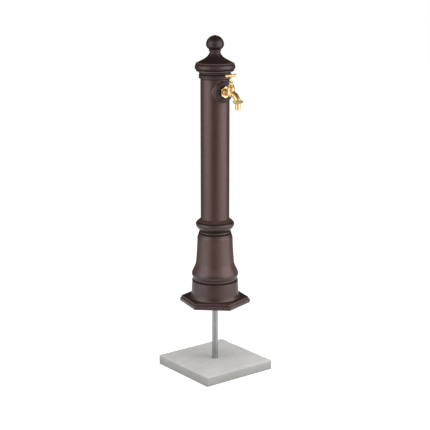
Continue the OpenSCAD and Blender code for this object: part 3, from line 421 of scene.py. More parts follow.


# Painted shade: dark lines painted at the joints between castings and in the mouldings' grooves, where shade falls.
joint_painted_shade = calc(tree, "MAXIMUM", bands(0.0046, DRUM_JOINT, COLLAR_JOINT, CAP_JOINT, RIM_JOINT),
                  bands(0.0036, COLLAR_BROW))
groove = calc(tree, "MAXIMUM", bands(0.0034, *CAP_GROOVES), bands(0.0024, *RING_GROOVES))
faint_groove_painted_shade = calc(tree, "MULTIPLY", bands(0.0034, *FAINT_GROOVES), 0.5)
hollow = calc(tree, "MAXIMUM", joint_painted_shade, calc(tree, "MAXIMUM", calc(tree, "MULTIPLY", groove, 0.8), faint_groove_painted_shade))
# Painted highlight: light lines painted along edges of the cap's rim and the finial's ring.
edge_painted_highlight = bands(0.0016, *EDGE_HIGHLIGHT_HEIGHTS)
facing_up = add(tree, "ShaderNodeSeparateXYZ", {0: add(tree, "ShaderNodeNewGeometry").outputs["Normal"]}).outputs[2]
# Painted shade: faces that look up, such as the plinth's top and the ledges, are painted darker; they are also made
# a little rougher.
upward_painted_shade = calc(tree, "MULTIPLY", ramp(tree, facing_up, (0.86, 0.0), (0.98, 1.0)),
                 ramp(tree, fine["Clouds"], (0.3, 0.8), (0.7, 1.0)))
# Painted shade: the cap and finial are painted darker than the shaft, darkest on the roof and the ball.
cap_painted_shade = ramp(tree, rise, (0.8555, 0.0), (0.8575, 0.5), (0.8925, 0.55), (0.8965, 0.92))
# Painted shade: a dark band painted under the collar's bulge.
collar_bulge_painted_shade = ramp(tree, rise, (0.2815, 0.0), (0.2845, 0.85), (0.2875, 0.7), (0.2975, 0.0))
# Painted shade: the down-facing underside of the collar's bulge is painted dark and cool.
collar_underside_painted_shade = calc(tree, "MULTIPLY", bands(0.03, COLLAR_HOLLOW),
                  ramp(tree, calc(tree, "MULTIPLY", facing_up, -1.0), (0.05, 0.0), (0.25, 0.9)))
# Painted light: the paint is lightened from the drum joint up to the collar.
pedestal_painted_light = ramp(tree, rise, (0.0895, 0.0), (0.0935, 0.45), (0.24, 0.45), (0.30, 0.0))
# Painted shade: a dark band painted under the bell's bulge, where its overhang throws shade.
bell_lip_painted_shade = calc(tree, "MULTIPLY", bands(0.012, BELL_LIP), 0.6)
# Painted highlight: the plinth's bevels are painted lighter, standing in for the light they catch.
rubbed_piece_or_painted_highlight = calc(tree, "MULTIPLY", ramp(tree, facing_up, (0.3, 0.0), (0.5, 0.6), (0.75, 0.6), (0.88, 0.0)),
              calc(tree, "LESS_THAN", spot[2], PLINTH_TOP))
shade = blend(tree, ramp(tree, broad["Clouds"], (0.3, 0.0), (0.7, 1.0)), tone(69, 47, 40), tone(75, 52, 45))
shade = blend(tree, ramp(tree, broad["Runs"], (0.45, 0.0), (0.8, 0.35)), shade, tone(62, 42, 35))
shade = blend(tree, ramp(tree, fine["Grain"], (0.5, 0.0), (0.8, 0.22)), shade, tone(96, 75, 69))
shade = blend(tree, pedestal_painted_light, shade, tone(86, 64, 59))
shade = blend(tree, bell_lip_painted_shade, shade, tone(44, 31, 27))
shade = blend(tree, collar_underside_painted_shade, shade, tone(30, 28, 29))
shade = blend(tree, collar_bulge_painted_shade, shade, tone(34, 29, 28))
shade = blend(tree, upward_painted_shade, shade, tone(40, 28, 23))
shade = blend(tree, cap_painted_shade, shade, tone(28, 16, 10))
shade = blend(tree, ramp(tree, rise, (0.0875, 0.5), (0.0905, 0.0)), shade, tone(54, 38, 34))
shade = blend(tree, rubbed_piece_or_painted_highlight, shade, tone(122, 106, 103))
shade = blend(tree, edge_painted_highlight, shade, tone(92, 72, 66))
# Painted shade in the joints and grooves.
shade = blend(tree, hollow, shade, tone(17, 10, 7))
tree.links.new(shade, shader.inputs["Base Color"])
gloss = calc(tree, "ADD", ramp(tree, fine["Clouds"], (0.3, 0.32), (0.7, 0.42)),
             calc(tree, "MULTIPLY", upward_painted_shade, 0.12))
gloss = calc(tree, "MAXIMUM", calc(tree, "ADD", gloss, calc(tree, "MULTIPLY", cap_painted_shade, 0.08)), hollow)
tree.links.new(gloss, shader.inputs["Roughness"])
peel = add(tree, "ShaderNodeTexNoise", {"Vector": place, "Scale": 520.0, "Detail": 2.0}).outputs[0]
relief(tree, shader, calc(tree, "ADD", calc(tree, "MULTIPLY", peel, 0.5), fine["Clouds"]), 0.00006)
new_piece("foot_casting", foot_mesh, paint, "column", "paint", "foot")

# Guide inside the foot: a three-armed steel spider with a nylon bush that runs on the pipe.
# It hangs under the foot's ledge on the three foot bolts.
steel, tree, shader, place = new_finish("plated_steel", Metallic=1.0)
broad, fine = weathering(tree, place, 30.0), weathering(tree, place, 220.0)
shade = blend(tree, ramp(tree, broad["Clouds"], (0.3, 0.0), (0.7, 1.0)), tone(158, 160, 163), tone(188, 190, 192))
shade = blend(tree, ramp(tree, broad["Runs"], (0.55, 0.0), (0.85, 0.5)), shade, tone(128, 120, 110))
tree.links.new(shade, shader.inputs["Base Color"])
tree.links.new(ramp(tree, fine["Clouds"], (0.3, 0.26), (0.7, 0.46)), shader.inputs["Roughness"])
relief(tree, shader, fine["Grain"], 0.00004)


def moulded_finish(name, size, mottle, dark, light, bloom, smooth, dull, depth, **sockets):
    """A moulded stuff: two tones in a fine mottle, under a bloom that dulls it in places."""
    made, tree, shader, place = new_finish(name, **sockets)
    fine = weathering(tree, place, size)
    shade = blend(tree, ramp(tree, fine[mottle], (0.3, 0.0), (0.7, 1.0)), dark, light)
    tree.links.new(shade, shader.inputs["Base Color"])
    tree.links.new(ramp(tree, fine[bloom], (0.3, smooth), (0.7, dull)), shader.inputs["Roughness"])
    relief(tree, shader, fine["Grain"], depth)
    return made


nylon = moulded_finish("nylon", 90.0, "Clouds", tone(222, 217, 203), tone(236, 232, 221),
                       "Grain", 0.36, 0.52, 0.00006, IOR=1.53)
coat(steel, "guide")
coat(nylon, "guide_bush")

# Fasteners of the column: three foot bolts, three clamp screws on the bush, two grub screws at the back.
# Plated steel, with rolled threads; the screws have sunk hexagons for a key.
SCREW_R, BOLT_AF, BOLT_HEAD, BOLT_LEN = 4, 13, 5.5, 75.5
BOLT_RING, BOLT_Z, CLAMP_RING, CLAMP_Z, GRUB_RING, GRUB_Z = 0.068, 0.2795, 0.01321, 0.273, 0.052, 0.4965


def nut_rings(across, low, high, bore, corner_at=0, cut_top=True, cut_low=True, count=144):
    """Rings of a hexagon nut with turned chamfers, standing upright between two heights."""
    angles = [2 * math.pi * i / count for i in range(count)]
    reach = [hex_reach(across, t, corner_at, 420) for t in angles]
    turn_in = across / 2 * 0.985
    fall = [max(0.0, r - turn_in) * 0.62 for r in reach]
    rings = [[(bore * math.cos(t), bore * math.sin(t), low) for t in angles]]
    if cut_low:
        rings.append([(turn_in * math.cos(t), turn_in * math.sin(t), low) for t in angles])
    rings.append([(r * math.cos(t), r * math.sin(t), low + (f if cut_low else 0))
                  for r, t, f in zip(reach, angles, fall)])
    rings.append([(r * math.cos(t), r * math.sin(t), high - (f if cut_top else 0))
                  for r, t, f in zip(reach, angles, fall)])
    if cut_top:
        rings.append([(turn_in * math.cos(t), turn_in * math.sin(t), high) for t in angles])
    rings.append([(bore * math.cos(t), bore * math.sin(t), high) for t in angles])
    return rings


def thread(low, high, radius, pitch=1.25):
    """An outline of rolled ridges between two heights."""
    made, z = [], low
    while z + pitch < high:
        made += [(radius - 0.45, z), (radius - 0.05, z + pitch * 0.42), (radius - 0.05, z + pitch * 0.58)]
        z += pitch
    return made + [(radius - 0.45, z)]


bolt_rings = turned([(0, 0)], count=144) + nut_rings(BOLT_AF, 0, BOLT_HEAD, SCREW_R, cut_top=False)[1:]
bolt_rings += turned(thread(BOLT_HEAD + 1, BOLT_LEN - 1.5, SCREW_R) + [(SCREW_R - 1.2, BOLT_LEN), (0, BOLT_LEN)],
                     count=144)
bolt_one = skin("bolt_one", bolt_rings, closed=False)


def grub(length, socket):
    """A headless screw that lies along +Z, with its key socket at the far end."""
    angles = [2 * math.pi * i / 72 for i in range(72)]
    key = [hex_reach(SCREW_R, t, 0, 400) for t in angles]
    rings = turned([(0, 0), (SCREW_R - 1.2, 0)] + thread(0.9, length - 0.6, SCREW_R) + [(SCREW_R - 0.6, length)],
                   count=72)
    rings.append([(r * 1.06 * math.cos(t), r * 1.06 * math.sin(t), length) for r, t in zip(key, angles)])
    rings.append([(r * math.cos(t), r * math.sin(t), length - 0.2) for r, t in zip(key, angles)])
    rings.append([(r * math.cos(t), r * math.sin(t), length - socket) for r, t in zip(key, angles)])
    return skin("grub_one", rings + turned([(0, length - socket - 0.6)], count=72), closed=False)


around_tree = bpy.data.node_groups.new("around_the_column", "GeometryNodeTree")
for label, kind in (("Geometry", "NodeSocketGeometry"), ("Count", "NodeSocketInt"),
                    ("Ring Radius", "NodeSocketFloat"), ("First Angle", "NodeSocketFloat"),
                    ("Sweep", "NodeSocketFloat"), ("Height", "NodeSocketFloat"),
                    ("Outwards", "NodeSocketFloat"), ("Finish", "NodeSocketMaterial")):
    around_tree.interface.new_socket(label, in_out="INPUT", socket_type=kind)
around_tree.interface.new_socket("Geometry", in_out="OUTPUT", socket_type="NodeSocketGeometry")
around_in, around_out = add(around_tree, "NodeGroupInput"), add(around_tree, "NodeGroupOutput")
path = add(around_tree, "GeometryNodeCurveArc",
           {"Resolution": around_in.outputs["Count"], "Radius": around_in.outputs["Ring Radius"],
            "Start Angle": around_in.outputs["First Angle"], "Sweep Angle": around_in.outputs["Sweep"]})
spots = add(around_tree, "GeometryNodeCurveToPoints", {0: path.outputs[0]}, mode="EVALUATED")
spot_at = add(around_tree, "GeometryNodeInputPosition")
lean = add(around_tree, "ShaderNodeMix", {0: around_in.outputs["Outwards"], 4: (0, 0, 1), 5: spot_at.outputs[0]},
           data_type="VECTOR")
stood = add(around_tree, "FunctionNodeAlignRotationToVector", {"Vector": lean.outputs[1]}, axis="Z")
ring_of = add(around_tree, "GeometryNodeInstanceOnPoints",
              {"Points": spots.outputs[0], "Instance": around_in.outputs["Geometry"], "Rotation": stood.outputs[0]})
loose = add(around_tree, "GeometryNodeRealizeInstances", {0: ring_of.outputs[0]})
up_by = add(around_tree, "ShaderNodeCombineXYZ", {2: around_in.outputs["Height"]})
raised = add(around_tree, "GeometryNodeTransform", {0: loose.outputs[0], "Translation": up_by.outputs[0]})
coated = add(around_tree, "GeometryNodeSetMaterial", {0: raised.outputs[0], "Material": around_in.outputs["Finish"]})
around_tree.links.new(coated.outputs[0], around_out.inputs[0])


def around(name, one, count, ring, first, sweep, height, outwards):
    """Like pieces set round the column's axis, upright or pointing outwards."""
    return made_by_nodes(name, around_tree, one, Finish=steel, **{
        "Count": count, "Ring Radius": ring, "First Angle": math.radians(first), "Sweep": math.radians(sweep),
        "Height": height, "Outwards": outwards})


for name, made, stands_for in (
        ("foot_bolt_set", around("foot_bolt_set", bolt_one, 3, BOLT_RING, 90, 240, BOLT_Z, 0.0), "foot_bolts"),
        ("clamp_screw_set", around("clamp_screw_set", grub(9.79, 3.0), 3, CLAMP_RING, 30, 240, CLAMP_Z, 1.0),
         "guide_screws"),
        ("grub_screw_set", around("grub_screw_set", grub(9.5, 4.0), 2, GRUB_RING, 50, 80, GRUB_Z, 1.0),
         "shaft_screws")):
    new_piece(name, made, steel, "column", "steel", stands_for)

# Pedestal: a bell-shaped iron casting that stands on the drum and carries the shaft in its socket.
# Bolted up from below; two grub screws at the back hold the shaft.
PED_Z = 343
pedestal_outline = (
    [(58, 0), (80.4, 0), (81, 0.6), (81, 9.0), (81.5, 9.4)] + arc(80, 21, 5, 11.1, -62, 0, 14)
    + curve((85, 21.5), (85, 33), (70.65, 48.3), (69.6, 68.4), 36)
    + curve((69.56, 69.1), (67.5, 88.6), (65.2, 120.8), (64.5, 152.6), 24)
    + arc(54.5, 153.8, 10, 19.25, 0, 42, 12)
    + [(60.4, 166.9), (60.1, 167.3), (60.1, 173.6), (59.7, 174.5), (58.9, 175), (52.1, 175), (52.1, 132), (47, 132),
       (47, 123), (59, 119), (64.6, 63), (78.5, 24), (78.5, 15), (58, 15)])
pedestal_mesh = skin("pedestal_casting", turned(pedestal_outline, PED_Z, 192), 34)
drill_one = skin("drill", turned([(0, -4), (4.1, -4), (4.1, 20), (0, 20)], count=48), closed=False)
cutter = bpy.data.objects.new("screw_cut", around("screw_cut", drill_one, 2, GRUB_RING + 0.002, 50, 80, GRUB_Z, 1.0))
bpy.context.scene.collection.objects.link(cutter)
bored = bpy.data.objects.new("bored", pedestal_mesh)
bpy.context.scene.collection.objects.link(bored)
drill = bored.modifiers.new("drill", "BOOLEAN")
drill.operation, drill.solver, drill.object = "DIFFERENCE", "EXACT", cutter
pedestal_mesh = bpy.data.meshes.new_from_object(bored.evaluated_get(bpy.context.evaluated_depsgraph_get()))
bpy.data.objects.remove(bored)
bpy.data.objects.remove(cutter)
pedestal_mesh.set_sharp_from_angle(angle=math.radians(34))
new_piece("pedestal_casting", pedestal_mesh, paint, "column", "paint", "pedestal")

# Collar: a loose cover ring of cast iron that hides the joint of shaft and pedestal.
# It has a bead below its bulge, rests on the pedestal's rim and is painted with the column.
COLLAR_Z = 518
collar_outline = (
    [(52.1, 0), (56.4, 0)] + arc(54, 4.5, 4, 3.98, -60, 66, 12) + [(52.9, 10.1), (53.1, 11.4)]
    + curve((53.6, 11.9), (60, 13.5), (70, 22), (70, 36), 22)
    + curve((69.4, 37.1), (67, 41.1), (64, 46.1), (53.2, 52.2), 18) + [(52.6, 52.8), (52.1, 53)])


def painted_turning(name, outline, zero, count, sharp, stands_for):
    """A turned casting of the column in the column's paint."""
    new_piece(name, skin(name, turned(outline, zero, count), sharp), paint, "column", "paint", stands_for)


painted_turning("collar_ring", collar_outline, COLLAR_Z, 192, 40, "collar")

# Shaft: a plain cast tube with two beads round its top and a ledge inside for the cap.
# Its lower end stands in the pedestal's socket.
SHAFT_Z, SHAFT_R, TAP_Z = 475, 52, 1036
shaft_outline = (
    [(47, 0), (51.5, 0), (52, 0.5)] + [(52, 12 + 19.6 * k) for k in range(31)]
    + curve((52, 601.6), (52, 603.5), (52.6, 604.5), (54.8, 604.6), 8)
    + arc(54.8, 608.1, 3.4, 3.4, -86, 78, 14) + arc(54.8, 615.4, 3.4, 3.4, -78, 72, 14)
    + [(55.2, 619), (42, 619), (42, 604.5), (47, 604.5)])
painted_turning("shaft_tube", shaft_outline, SHAFT_Z, 192, 34, "shaft")

# Boss for the tap: a round pad cast on the shaft's front, with a rounded edge and a fillet to the tube.
# Its side is painted with the shaft and its face is left dark; a pad inside gives the back nut a level face.
BOSS_R, BOSS_FACE, BOSS_EDGE, TAIL_HOLE, PAD_R, PAD_FACE, FILLET, IN_WALL = 37.5, 57, 2.5, 10.5, 20, 40, 3, 50
boss_angles = [2 * math.pi * i / 144 for i in range(144)]


def tube_front(radius, side):
    """How far the tube's wall stands out at a place beside the tap's axis."""
    return math.sqrt(radius * radius - side * side)


def boss_ring(reach, front):
    """A ring about the tap's axis, at a reach from it and as far forward as front says for each side."""
    return [(reach * math.cos(t), -front(reach * math.cos(t)), TAP_Z + reach * math.sin(t)) for t in boss_angles]


def boss_level(reach, front):
    """A ring about the tap's axis that lies level at one distance forward."""
    return boss_ring(reach, lambda side: front)


def boss_flank(side, down):
    """The boss's side wall at a share of the way down to the fillet."""
    foot = tube_front(SHAFT_R, side) + FILLET * 0.8
    top = BOSS_FACE - BOSS_EDGE
    return top - down * max(top - foot, 0.1)


face_rings = [boss_level(TAIL_HOLE, BOSS_FACE), boss_level(28, BOSS_FACE)]
face_rings += [boss_level(r, f) for r, f in
               arc(BOSS_R - BOSS_EDGE, BOSS_FACE - BOSS_EDGE, BOSS_EDGE, BOSS_EDGE, 90, 0, 8)]
face_rings.append(boss_level(TAIL_HOLE, BOSS_FACE - BOSS_EDGE))
boss_dark, tree, shader, place = new_finish("boss_dark", IOR=1.5)
shader.inputs["Specular IOR Level"].default_value = 0.22
fine = weathering(tree, place, 90.0)
from_axis = add(tree, "ShaderNodeVectorMath", {0: place, 1: (1, 0, 1), 2: (0, 0, -TAP_Z * MM)},
                operation="MULTIPLY_ADD")
from_axis = add(tree, "ShaderNodeVectorMath", {0: from_axis.outputs[0]}, operation="LENGTH").outputs["Value"]
shade = blend(tree, ramp(tree, fine["Clouds"], (0.3, 0.0), (0.7, 1.0)), tone(48, 42, 39), tone(57, 50, 47))
shade = blend(tree, ramp(tree, fine["Grain"], (0.55, 0.0), (0.8, 0.3)), shade, tone(70, 61, 57))
# Painted shadow: the boss face is painted near black in a ring round the wall nut.
shade = blend(tree, ramp(tree, from_axis, (0.0225, 0.92), (0.0265, 0.0)), shade, tone(14, 9, 7))
tree.links.new(shade, shader.inputs["Base Color"])
tree.links.new(ramp(tree, fine["Clouds"], (0.3, 0.45), (0.7, 0.6)), shader.inputs["Roughness"])
relief(tree, shader, fine["Grain"], 0.00008)
new_piece("tap_boss", skin("tap_boss", face_rings, 40), boss_dark, "column", "paint")

side_rings = [boss_level(TAIL_HOLE, BOSS_FACE - BOSS_EDGE)]
side_rings += [boss_ring(BOSS_R, lambda side, k=k: boss_flank(side, k / 4)) for k in range(4)]
for k in range(9):
    bow = math.radians(90 * k / 8)
    rise_up = FILLET * 0.8 * (1 - math.sin(bow))
    side_rings.append(boss_ring(
        BOSS_R + FILLET * (1 - math.cos(bow)),
        lambda side, up=rise_up: min(tube_front(SHAFT_R, side) + up, BOSS_FACE - BOSS_EDGE - 0.1)))
side_rings += [boss_ring(BOSS_R + FILLET, lambda side: tube_front(IN_WALL, side)),
               boss_ring(PAD_R + 0.4, lambda side: tube_front(IN_WALL, side)),
               boss_level(PAD_R, PAD_FACE + 0.6), boss_level(PAD_R - 0.6, PAD_FACE), boss_level(TAIL_HOLE, PAD_FACE)]
new_piece("tap_boss_side", skin("tap_boss_side", side_rings, 40), paint, "column", "paint")

# Cap: an ogee roof with a moulded rim, let into the shaft's top by its spigot.
# Cast hollow; a rod through its neck draws it down.
CAP_Z = 1094
cap_outline = (
    [(36, -11), (41, -11), (41.5, -10.5), (41.5, 0), (55.9, 0), (56.3, 0.5), (56.3, 2.0)]
    + arc(66.3, 2.4, 10, 9, 180, 92, 14)
    + [(66.7, 11.5), (67, 11.9), (67, 15.2), (66.6, 15.8), (65.2, 16.4), (65.2, 16.9), (66.6, 17.1)]
    + arc(64, 26.5, 8.2, 11.4, -54, 50, 22) + [(67.6, 35.4), (67.2, 35.8)]
    + arc(66.6, 38, 2.5, 2.4, -50, 100, 10) + [(65.2, 40.1), (64.6, 40.3)]
    + curve((63.8, 41), (50.2, 51), (26, 55.1), (19.2, 77.5), 40)
    + [(19.2, 80.6), (18.8, 81), (5.5, 81), (5.5, 62.4), (21.2, 57.5), (45.2, 45.4), (57.2, 38.1), (60.7, 33),
       (59, 18), (49.8, 6), (36, 6)])
painted_turning("cap_roof", cap_outline, CAP_Z, 192, 34, "cap")

# Finial: a ball on a small ring, bored for the rod that holds the cap, with a tiny nib on top.
# Inside the shaft the rod hangs in a flat steel bridge with a nut.
FINIAL_Z = 1175
finial_outline = (
    [(5.1, 0), (20.9, 0), (21.3, 0.2)] + arc(20.1, 2.4, 2.4, 2.4, -60, 62, 10)
    + arc(0, 23.5, 31.8, 22.9, -50, 0, 24) + arc(0, 23.5, 31.8, 31.8, 3, 82, 34)
    + [(4.3, 55.5), (3.4, 55.95), (1.6, 56.25), (0, 56.3), (0, 27), (5.1, 25)])
painted_turning("finial_ball", finial_outline, FINIAL_Z, 160, 40, "finial")
coat(steel, "cap_rod", "cap_bridge", "bridge_nut")

# Body of the tap: threaded tail, valve chamber and bent spout, one brass casting.
# Sand cast, so every inner corner has a fillet, then polished; the ways inside are bored.
def brass_finish(name, dark, light, smooth, dull):
    """Brass with a faint tarnish, smoother where it is turned than where it is cast."""
    made, tree, shader, place = new_finish(name, Metallic=1.0)
    broad, fine = weathering(tree, place, 70.0), weathering(tree, place, 420.0)
    shade = blend(tree, ramp(tree, broad["Clouds"], (0.32, 0.0), (0.68, 1.0)), dark, light)
    shade = blend(tree, ramp(tree, broad["Grain"], (0.55, 0.0), (0.8, 0.3)), shade, tone(206, 166, 104))
    shade = blend(tree, ramp(tree, broad["Runs"], (0.62, 0.0), (0.85, 0.25)), shade, tone(182, 138, 84))
    tree.links.new(shade, shader.inputs["Base Color"])
    tree.links.new(ramp(tree, fine["Clouds"], (0.3, smooth), (0.7, dull)), shader.inputs["Roughness"])
    relief(tree, shader, calc(tree, "ADD", fine["Grain"], fine["Runs"]), 0.00003)
    return made


brass_cast = brass_finish("brass_cast", tone(222, 186, 128), tone(234, 202, 148), 0.4, 0.5)
brass_turned = brass_finish("brass_turned", tone(226, 190, 132), tone(236, 204, 150), 0.34, 0.44)


def soft_copy(name, of, voxel, rounds):
    """A copy of a solid with its inner corners filled and its edges rubbed, as a casting has."""
    work = bmesh.new()
    work.from_mesh(node[of].data)
    rubbed_piece_or_painted_highlight = bpy.data.objects.new(name, settled(work, name, 180))
    bpy.context.scene.collection.objects.link(rubbed_piece_or_painted_highlight)
    remesh = rubbed_piece_or_painted_highlight.modifiers.new("remesh", "REMESH")
    remesh.mode, remesh.voxel_size = "VOXEL", voxel
    rub = rubbed_piece_or_painted_highlight.modifiers.new("rub", "SMOOTH")
    rub.factor, rub.iterations = 0.5, rounds
    mesh = bpy.data.meshes.new_from_object(rubbed_piece_or_painted_highlight.evaluated_get(bpy.context.evaluated_depsgraph_get()))
    bpy.data.objects.remove(rubbed_piece_or_painted_highlight)
    mesh.name = name
    mesh.shade_smooth()
    return mesh


new_piece("tap_casting", soft_copy("tap_casting", "tap_body", 0.00062, 5), brass_cast, "column", "brass", "tap_body")

# Fixing of the tap: a hexagon nut against the boss, and inside the shaft a fibre washer and a back nut.
# An elbow on the tail turns down to the nipple for the inner hose.
fibre = moulded_finish("fibre", 260.0, "Grain", tone(122, 62, 48), tone(150, 84, 66), "Clouds", 0.7, 0.9, 0.0001)


def along_tap(rings, forward):
    """Rings of an upright piece laid along the tap's axis, its height leading out of the column."""
    return [[(y, -(z + forward), TAP_Z + x) for x, y, z in ring] for ring in rings]


def softened(mesh, width):
    """Rubs the crisp edges of a small turned piece."""
    rubbed_piece_or_painted_highlight = bpy.data.objects.new("rubbed_piece_or_painted_highlight", mesh)
    bpy.context.scene.collection.objects.link(rubbed_piece_or_painted_highlight)
    edge = rubbed_piece_or_painted_highlight.modifiers.new("edge", "BEVEL")
    edge.width, edge.segments, edge.limit_method, edge.angle_limit = width, 2, "ANGLE", math.radians(24)
    made = bpy.data.meshes.new_from_object(rubbed_piece_or_painted_highlight.evaluated_get(bpy.context.evaluated_depsgraph_get()))
    bpy.data.objects.remove(rubbed_piece_or_painted_highlight)
    made.name = mesh.name
    made.set_sharp_from_angle(angle=math.radians(40))
    return made


WALL_NUT_AF, WALL_NUT_T = 38, 6
wall_nut_rings = along_tap(nut_rings(WALL_NUT_AF, 0, WALL_NUT_T, TAIL_HOLE, cut_low=False), BOSS_FACE)
wall_nut = softened(skin("tap_wall_nut", wall_nut_rings, 24), 0.0004)
new_piece("tap_wall_nut", wall_nut, brass_turned, "column", "brass", "wall_nut")
coat(brass_turned, "back_nut", "inlet_elbow", "inlet_nipple", "supply_nipple")
coat(fibre, "back_washer")

# Valve: a rubber washer on a turned brass jumper, held by a small nut.
# The jumper's pin stands in the spindle's head, and it rises off the seat as the handle turns.
rubber = moulded_finish("rubber", 200.0, "Grain", tone(34, 34, 34), tone(52, 51, 50), "Clouds", 0.55, 0.75, 0.00006)
coat(brass_turned, "jumper", "washer_nut")
coat(rubber, "valve_washer")

# Headgear: a bonnet screwed into the chamber over a fibre gasket, with packing under a gland nut.
# Turned from hexagon bar, with the hexagon left for a spanner.
SPINDLE_U = 91.5


def over_spindle(rings):
    """Rings of an upright piece moved over the spindle's axis."""
    return [[(x, y - SPINDLE_U, TAP_Z + z) for x, y, z in ring] for ring in rings]


bonnet_rings = (turned([(9.0, 15), (10.4, 15), (10.4, 22)], count=144)
                + nut_rings(19, 22, 29.5, 8, corner_at=90)[1:-1]
                + turned([(7.2, 29.5), (6.6, 29.9), (6.6, 35.6), (6.2, 36), (5.0, 36), (5.0, 32.2), (4.58, 32),
                          (4.58, 23), (9.0, 21.6)], count=144))
bonnet = softened(skin("tap_bonnet", over_spindle(bonnet_rings), 24), 0.00025)
new_piece("tap_bonnet", bonnet, brass_turned, "column", "brass", "bonnet")
gland_rings = (turned([(3.48, 35.2), (4.8, 35.2), (4.8, 36)], count=144)
               + nut_rings(12, 36, 38.5, 5.4, corner_at=90, cut_low=False)[1:]
               + turned([(4.6, 40.7), (4.3, 41), (3.48, 41)], count=144))
gland = softened(skin("tap_gland", over_spindle(gland_rings), 24), 0.0002)
new_piece("tap_gland", gland, brass_turned, "column", "brass", "gland_nut")
coat(fibre, "bonnet_gasket")
coat(nylon, "gland_packing")

# Handle: a cast T-bar on the spindle's square end, held by a slotted screw.
# It turns the spindle in the bonnet and lifts the jumper.
coat(brass_turned, "spindle")
new_piece("tee_bar", soft_copy("tee_bar", "tee_handle", 0.00034, 4), brass_cast, "handle", "brass", "tee_handle")
coat(steel, "handle_screw")

# Hose union: a tapered hexagon nut that clamps a ringed hose tail and its rubber washer to the outlet.
# Nut and tail are turned brass, and the tail's rings grip a hose pushed over them.
OUTLET_U, TAIL_LOW, TAIL_R, TAIL_BORE = 130, -55.1, 9.5, 6.8


def under_outlet(rings):
    """Rings of an upright piece moved to the outlet's axis."""
    return [[(x, y - OUTLET_U, TAP_Z + z) for x, y, z in ring] for ring in rings]


union_rings = (turned([(10, -33.1), (11.6, -33.1), (12.1, -32.8), (15.2, -30.2)], count=144)
               + nut_rings(32, -30.1, -22.6, 13.3, corner_at=90)[1:]
               + turned([(13.3, -30.5), (10, -30.5)], count=144))
union = softened(skin("hose_union_nut", under_outlet(union_rings), 24), 0.0003)
new_piece("hose_union_nut", union, brass_turned, "column", "brass", "union_nut")
tail_outline = [(TAIL_BORE, TAIL_LOW), (8.5, TAIL_LOW), (9.1, -54.8), (TAIL_R, -54.1)]
for k in (1, 2, 3):
    groove = TAIL_LOW + 5.5 * k
    tail_outline += [(TAIL_R, groove - 1.5), (9.42, groove - 1.2), (9.05, groove - 0.2), (9.0, groove),
                     (9.3, groove + 0.15), (TAIL_R, groove + 0.35)]
tail_outline += [(TAIL_R, -33.7), (9.1, -33.3), (9.1, -30.5), (12.6, -30.5), (12.6, -28.1), (TAIL_BORE, -28.1)]
hose_tail = skin("hose_ring_tail", under_outlet(turned(tail_outline, count=96)), 30)
new_piece("hose_ring_tail", hose_tail, brass_turned, "column", "brass", "hose_tail")
coat(rubber, "union_washer")

# Studio: a white sweep under the slab, a soft box at each side, and dark cards for the reflections.
# The camera stands to the left of the tap, a little above the finial, and looks down on the slab.
scene = bpy.context.scene
scene.view_settings.view_transform = "Standard"
VIEW_TURN, VIEW_DROP, VIEW_AWAY, VIEW_HEIGHT = -37.5, 13.3, 4.12, 1.5565
AIM_HEIGHT, CARD_AWAY, FLOOR_HALF, FLOOR_LEVEL = 0.65, 1.6, 9, -0.0005
lens = bpy.data.cameras.new("camera")
lens.lens, lens.sensor_width = 97.53, 36
camera = bpy.data.objects.new("camera", lens)
scene.collection.objects.link(camera)
scene.camera = camera


def studio_spot(turn, away, height):
    """A place round the object, by its turn from the camera's side."""
    bow = math.radians(VIEW_TURN + turn)
    return Vector((away * math.sin(bow), -away * math.cos(bow), height))


camera.location = studio_spot(0, VIEW_AWAY, VIEW_HEIGHT)
camera.rotation_euler = (math.radians(90 - VIEW_DROP), 0, math.radians(VIEW_TURN))


def soft_box(name, turn, away, height, width, tall, power, mirrored=True):
    """A soft lamp that faces the middle of the column."""
    lamp = bpy.data.lights.new(name, "AREA")
    lamp.shape, lamp.size, lamp.size_y, lamp.energy = "RECTANGLE", width, tall, power
    box = bpy.data.objects.new(name, lamp)
    scene.collection.objects.link(box)
    box.location = studio_spot(turn, away, height)
    box.rotation_euler = (Vector((0, 0, AIM_HEIGHT)) - box.location).to_track_quat("-Z", "Y").to_euler()
    box.visible_glossy = mirrored


soft_box("box_right", 69, 2.4, 1.25, 2.6, 3.2, 53)
soft_box("box_left", -62, 2.4, 1.2, 2.2, 3.2, 33)
soft_box("box_top", 10, 0.9, 3.2, 3.2, 3.2, 28, False)


def studio_card(name, corners, grey):
    """A flat card that only reflections see."""
    mesh = bpy.data.meshes.new(name)
    mesh.from_pydata([tuple(c) for c in corners], [], [(0, 1, 2, 3)])
    card = bpy.data.objects.new(name, mesh)
    scene.collection.objects.link(card)
    stuff = bpy.data.materials.new(name)
    stuff.use_nodes = True
    tree = stuff.node_tree
    tree.nodes.clear()
    lit = add(tree, "ShaderNodeEmission", {"Color": (grey, grey, grey, 1), "Strength": 1.0})
    add(tree, "ShaderNodeOutputMaterial", {"Surface": lit.outputs[0]})
    mesh.materials.append(stuff)
    card.visible_camera = card.visible_diffuse = card.visible_shadow = card.visible_transmission = False


def upright_card(name, turn_from, turn_to, low, high, grey):
    """A card that stands between two turns from the camera's side."""
    a, b = studio_spot(turn_from, CARD_AWAY, low), studio_spot(turn_to, CARD_AWAY, low)
    up = Vector((0, 0, high - low))
    studio_card(name, (a, b, b + up, a + up), grey)


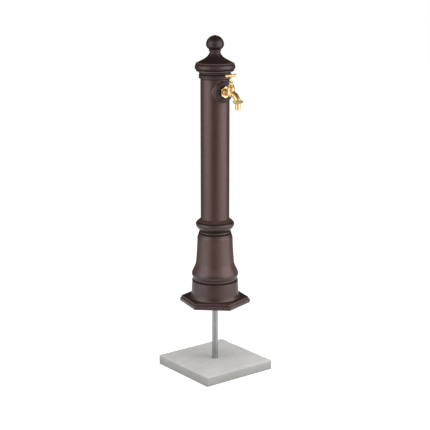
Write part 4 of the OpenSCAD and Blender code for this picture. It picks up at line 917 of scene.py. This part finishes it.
upright_card("card_front", -28, 19, -0.2, 1.3, 0.04)
upright_card("card_left", -150, -116, -0.2, 3.0, 0.1)
upright_card("card_left_near", -116, -94, -0.2, 3.0, 0.5)
upright_card("card_back", 150, 210, -0.2, 3.0, 0.06)
upright_card("card_right", 104, 150, -0.2, 3.0, 0.12)
studio_card("card_ceiling", [Vector((x, y, 2.6)) for x, y in ((-2, -2), (2, -2), (2, 2), (-2, 2))], 0.04)

floor_mesh = bpy.data.meshes.new("floor")
floor_corners = [(x * FLOOR_HALF, y * FLOOR_HALF, FLOOR_LEVEL) for x, y in ((-1, -1), (1, -1), (1, 1), (-1, 1))]
floor_mesh.from_pydata(floor_corners, [], [(0, 1, 2, 3)])
floor = bpy.data.objects.new("floor", floor_mesh)
scene.collection.objects.link(floor)
sweep = bpy.data.materials.new("white_sweep")
sweep.use_nodes = True
tree = sweep.node_tree
tree.nodes.clear()


def seen_rays(tree):
    """1 for rays from the camera, a mirror or glass, which see plain white, and 0 for the rest."""
    rays = add(tree, "ShaderNodeLightPath").outputs
    mirrored = calc(tree, "MAXIMUM", rays["Is Glossy Ray"], rays["Is Transmission Ray"])
    return calc(tree, "MAXIMUM", rays["Is Camera Ray"], mirrored)


matt = add(tree, "ShaderNodeBsdfDiffuse", {"Color": tone(150, 150, 150)})
glow = add(tree, "ShaderNodeEmission",
           {"Color": (1, 1, 1, 1), "Strength": calc(tree, "MULTIPLY", seen_rays(tree), 0.93)})
both = add(tree, "ShaderNodeAddShader", {0: matt.outputs[0], 1: glow.outputs[0]})
add(tree, "ShaderNodeOutputMaterial", {"Surface": both.outputs[0]})
floor_mesh.materials.append(sweep)

world = bpy.data.worlds.new("studio")
scene.world = world
world.use_nodes = True
tree = world.node_tree
tree.nodes.clear()
level = calc(tree, "ADD", calc(tree, "MULTIPLY", seen_rays(tree), 0.6), 0.4)
air = add(tree, "ShaderNodeBackground", {"Color": (1, 1, 1, 1), "Strength": level})
add(tree, "ShaderNodeOutputWorld", {"Surface": air.outputs[0]})

bpy.context.view_layer.update()
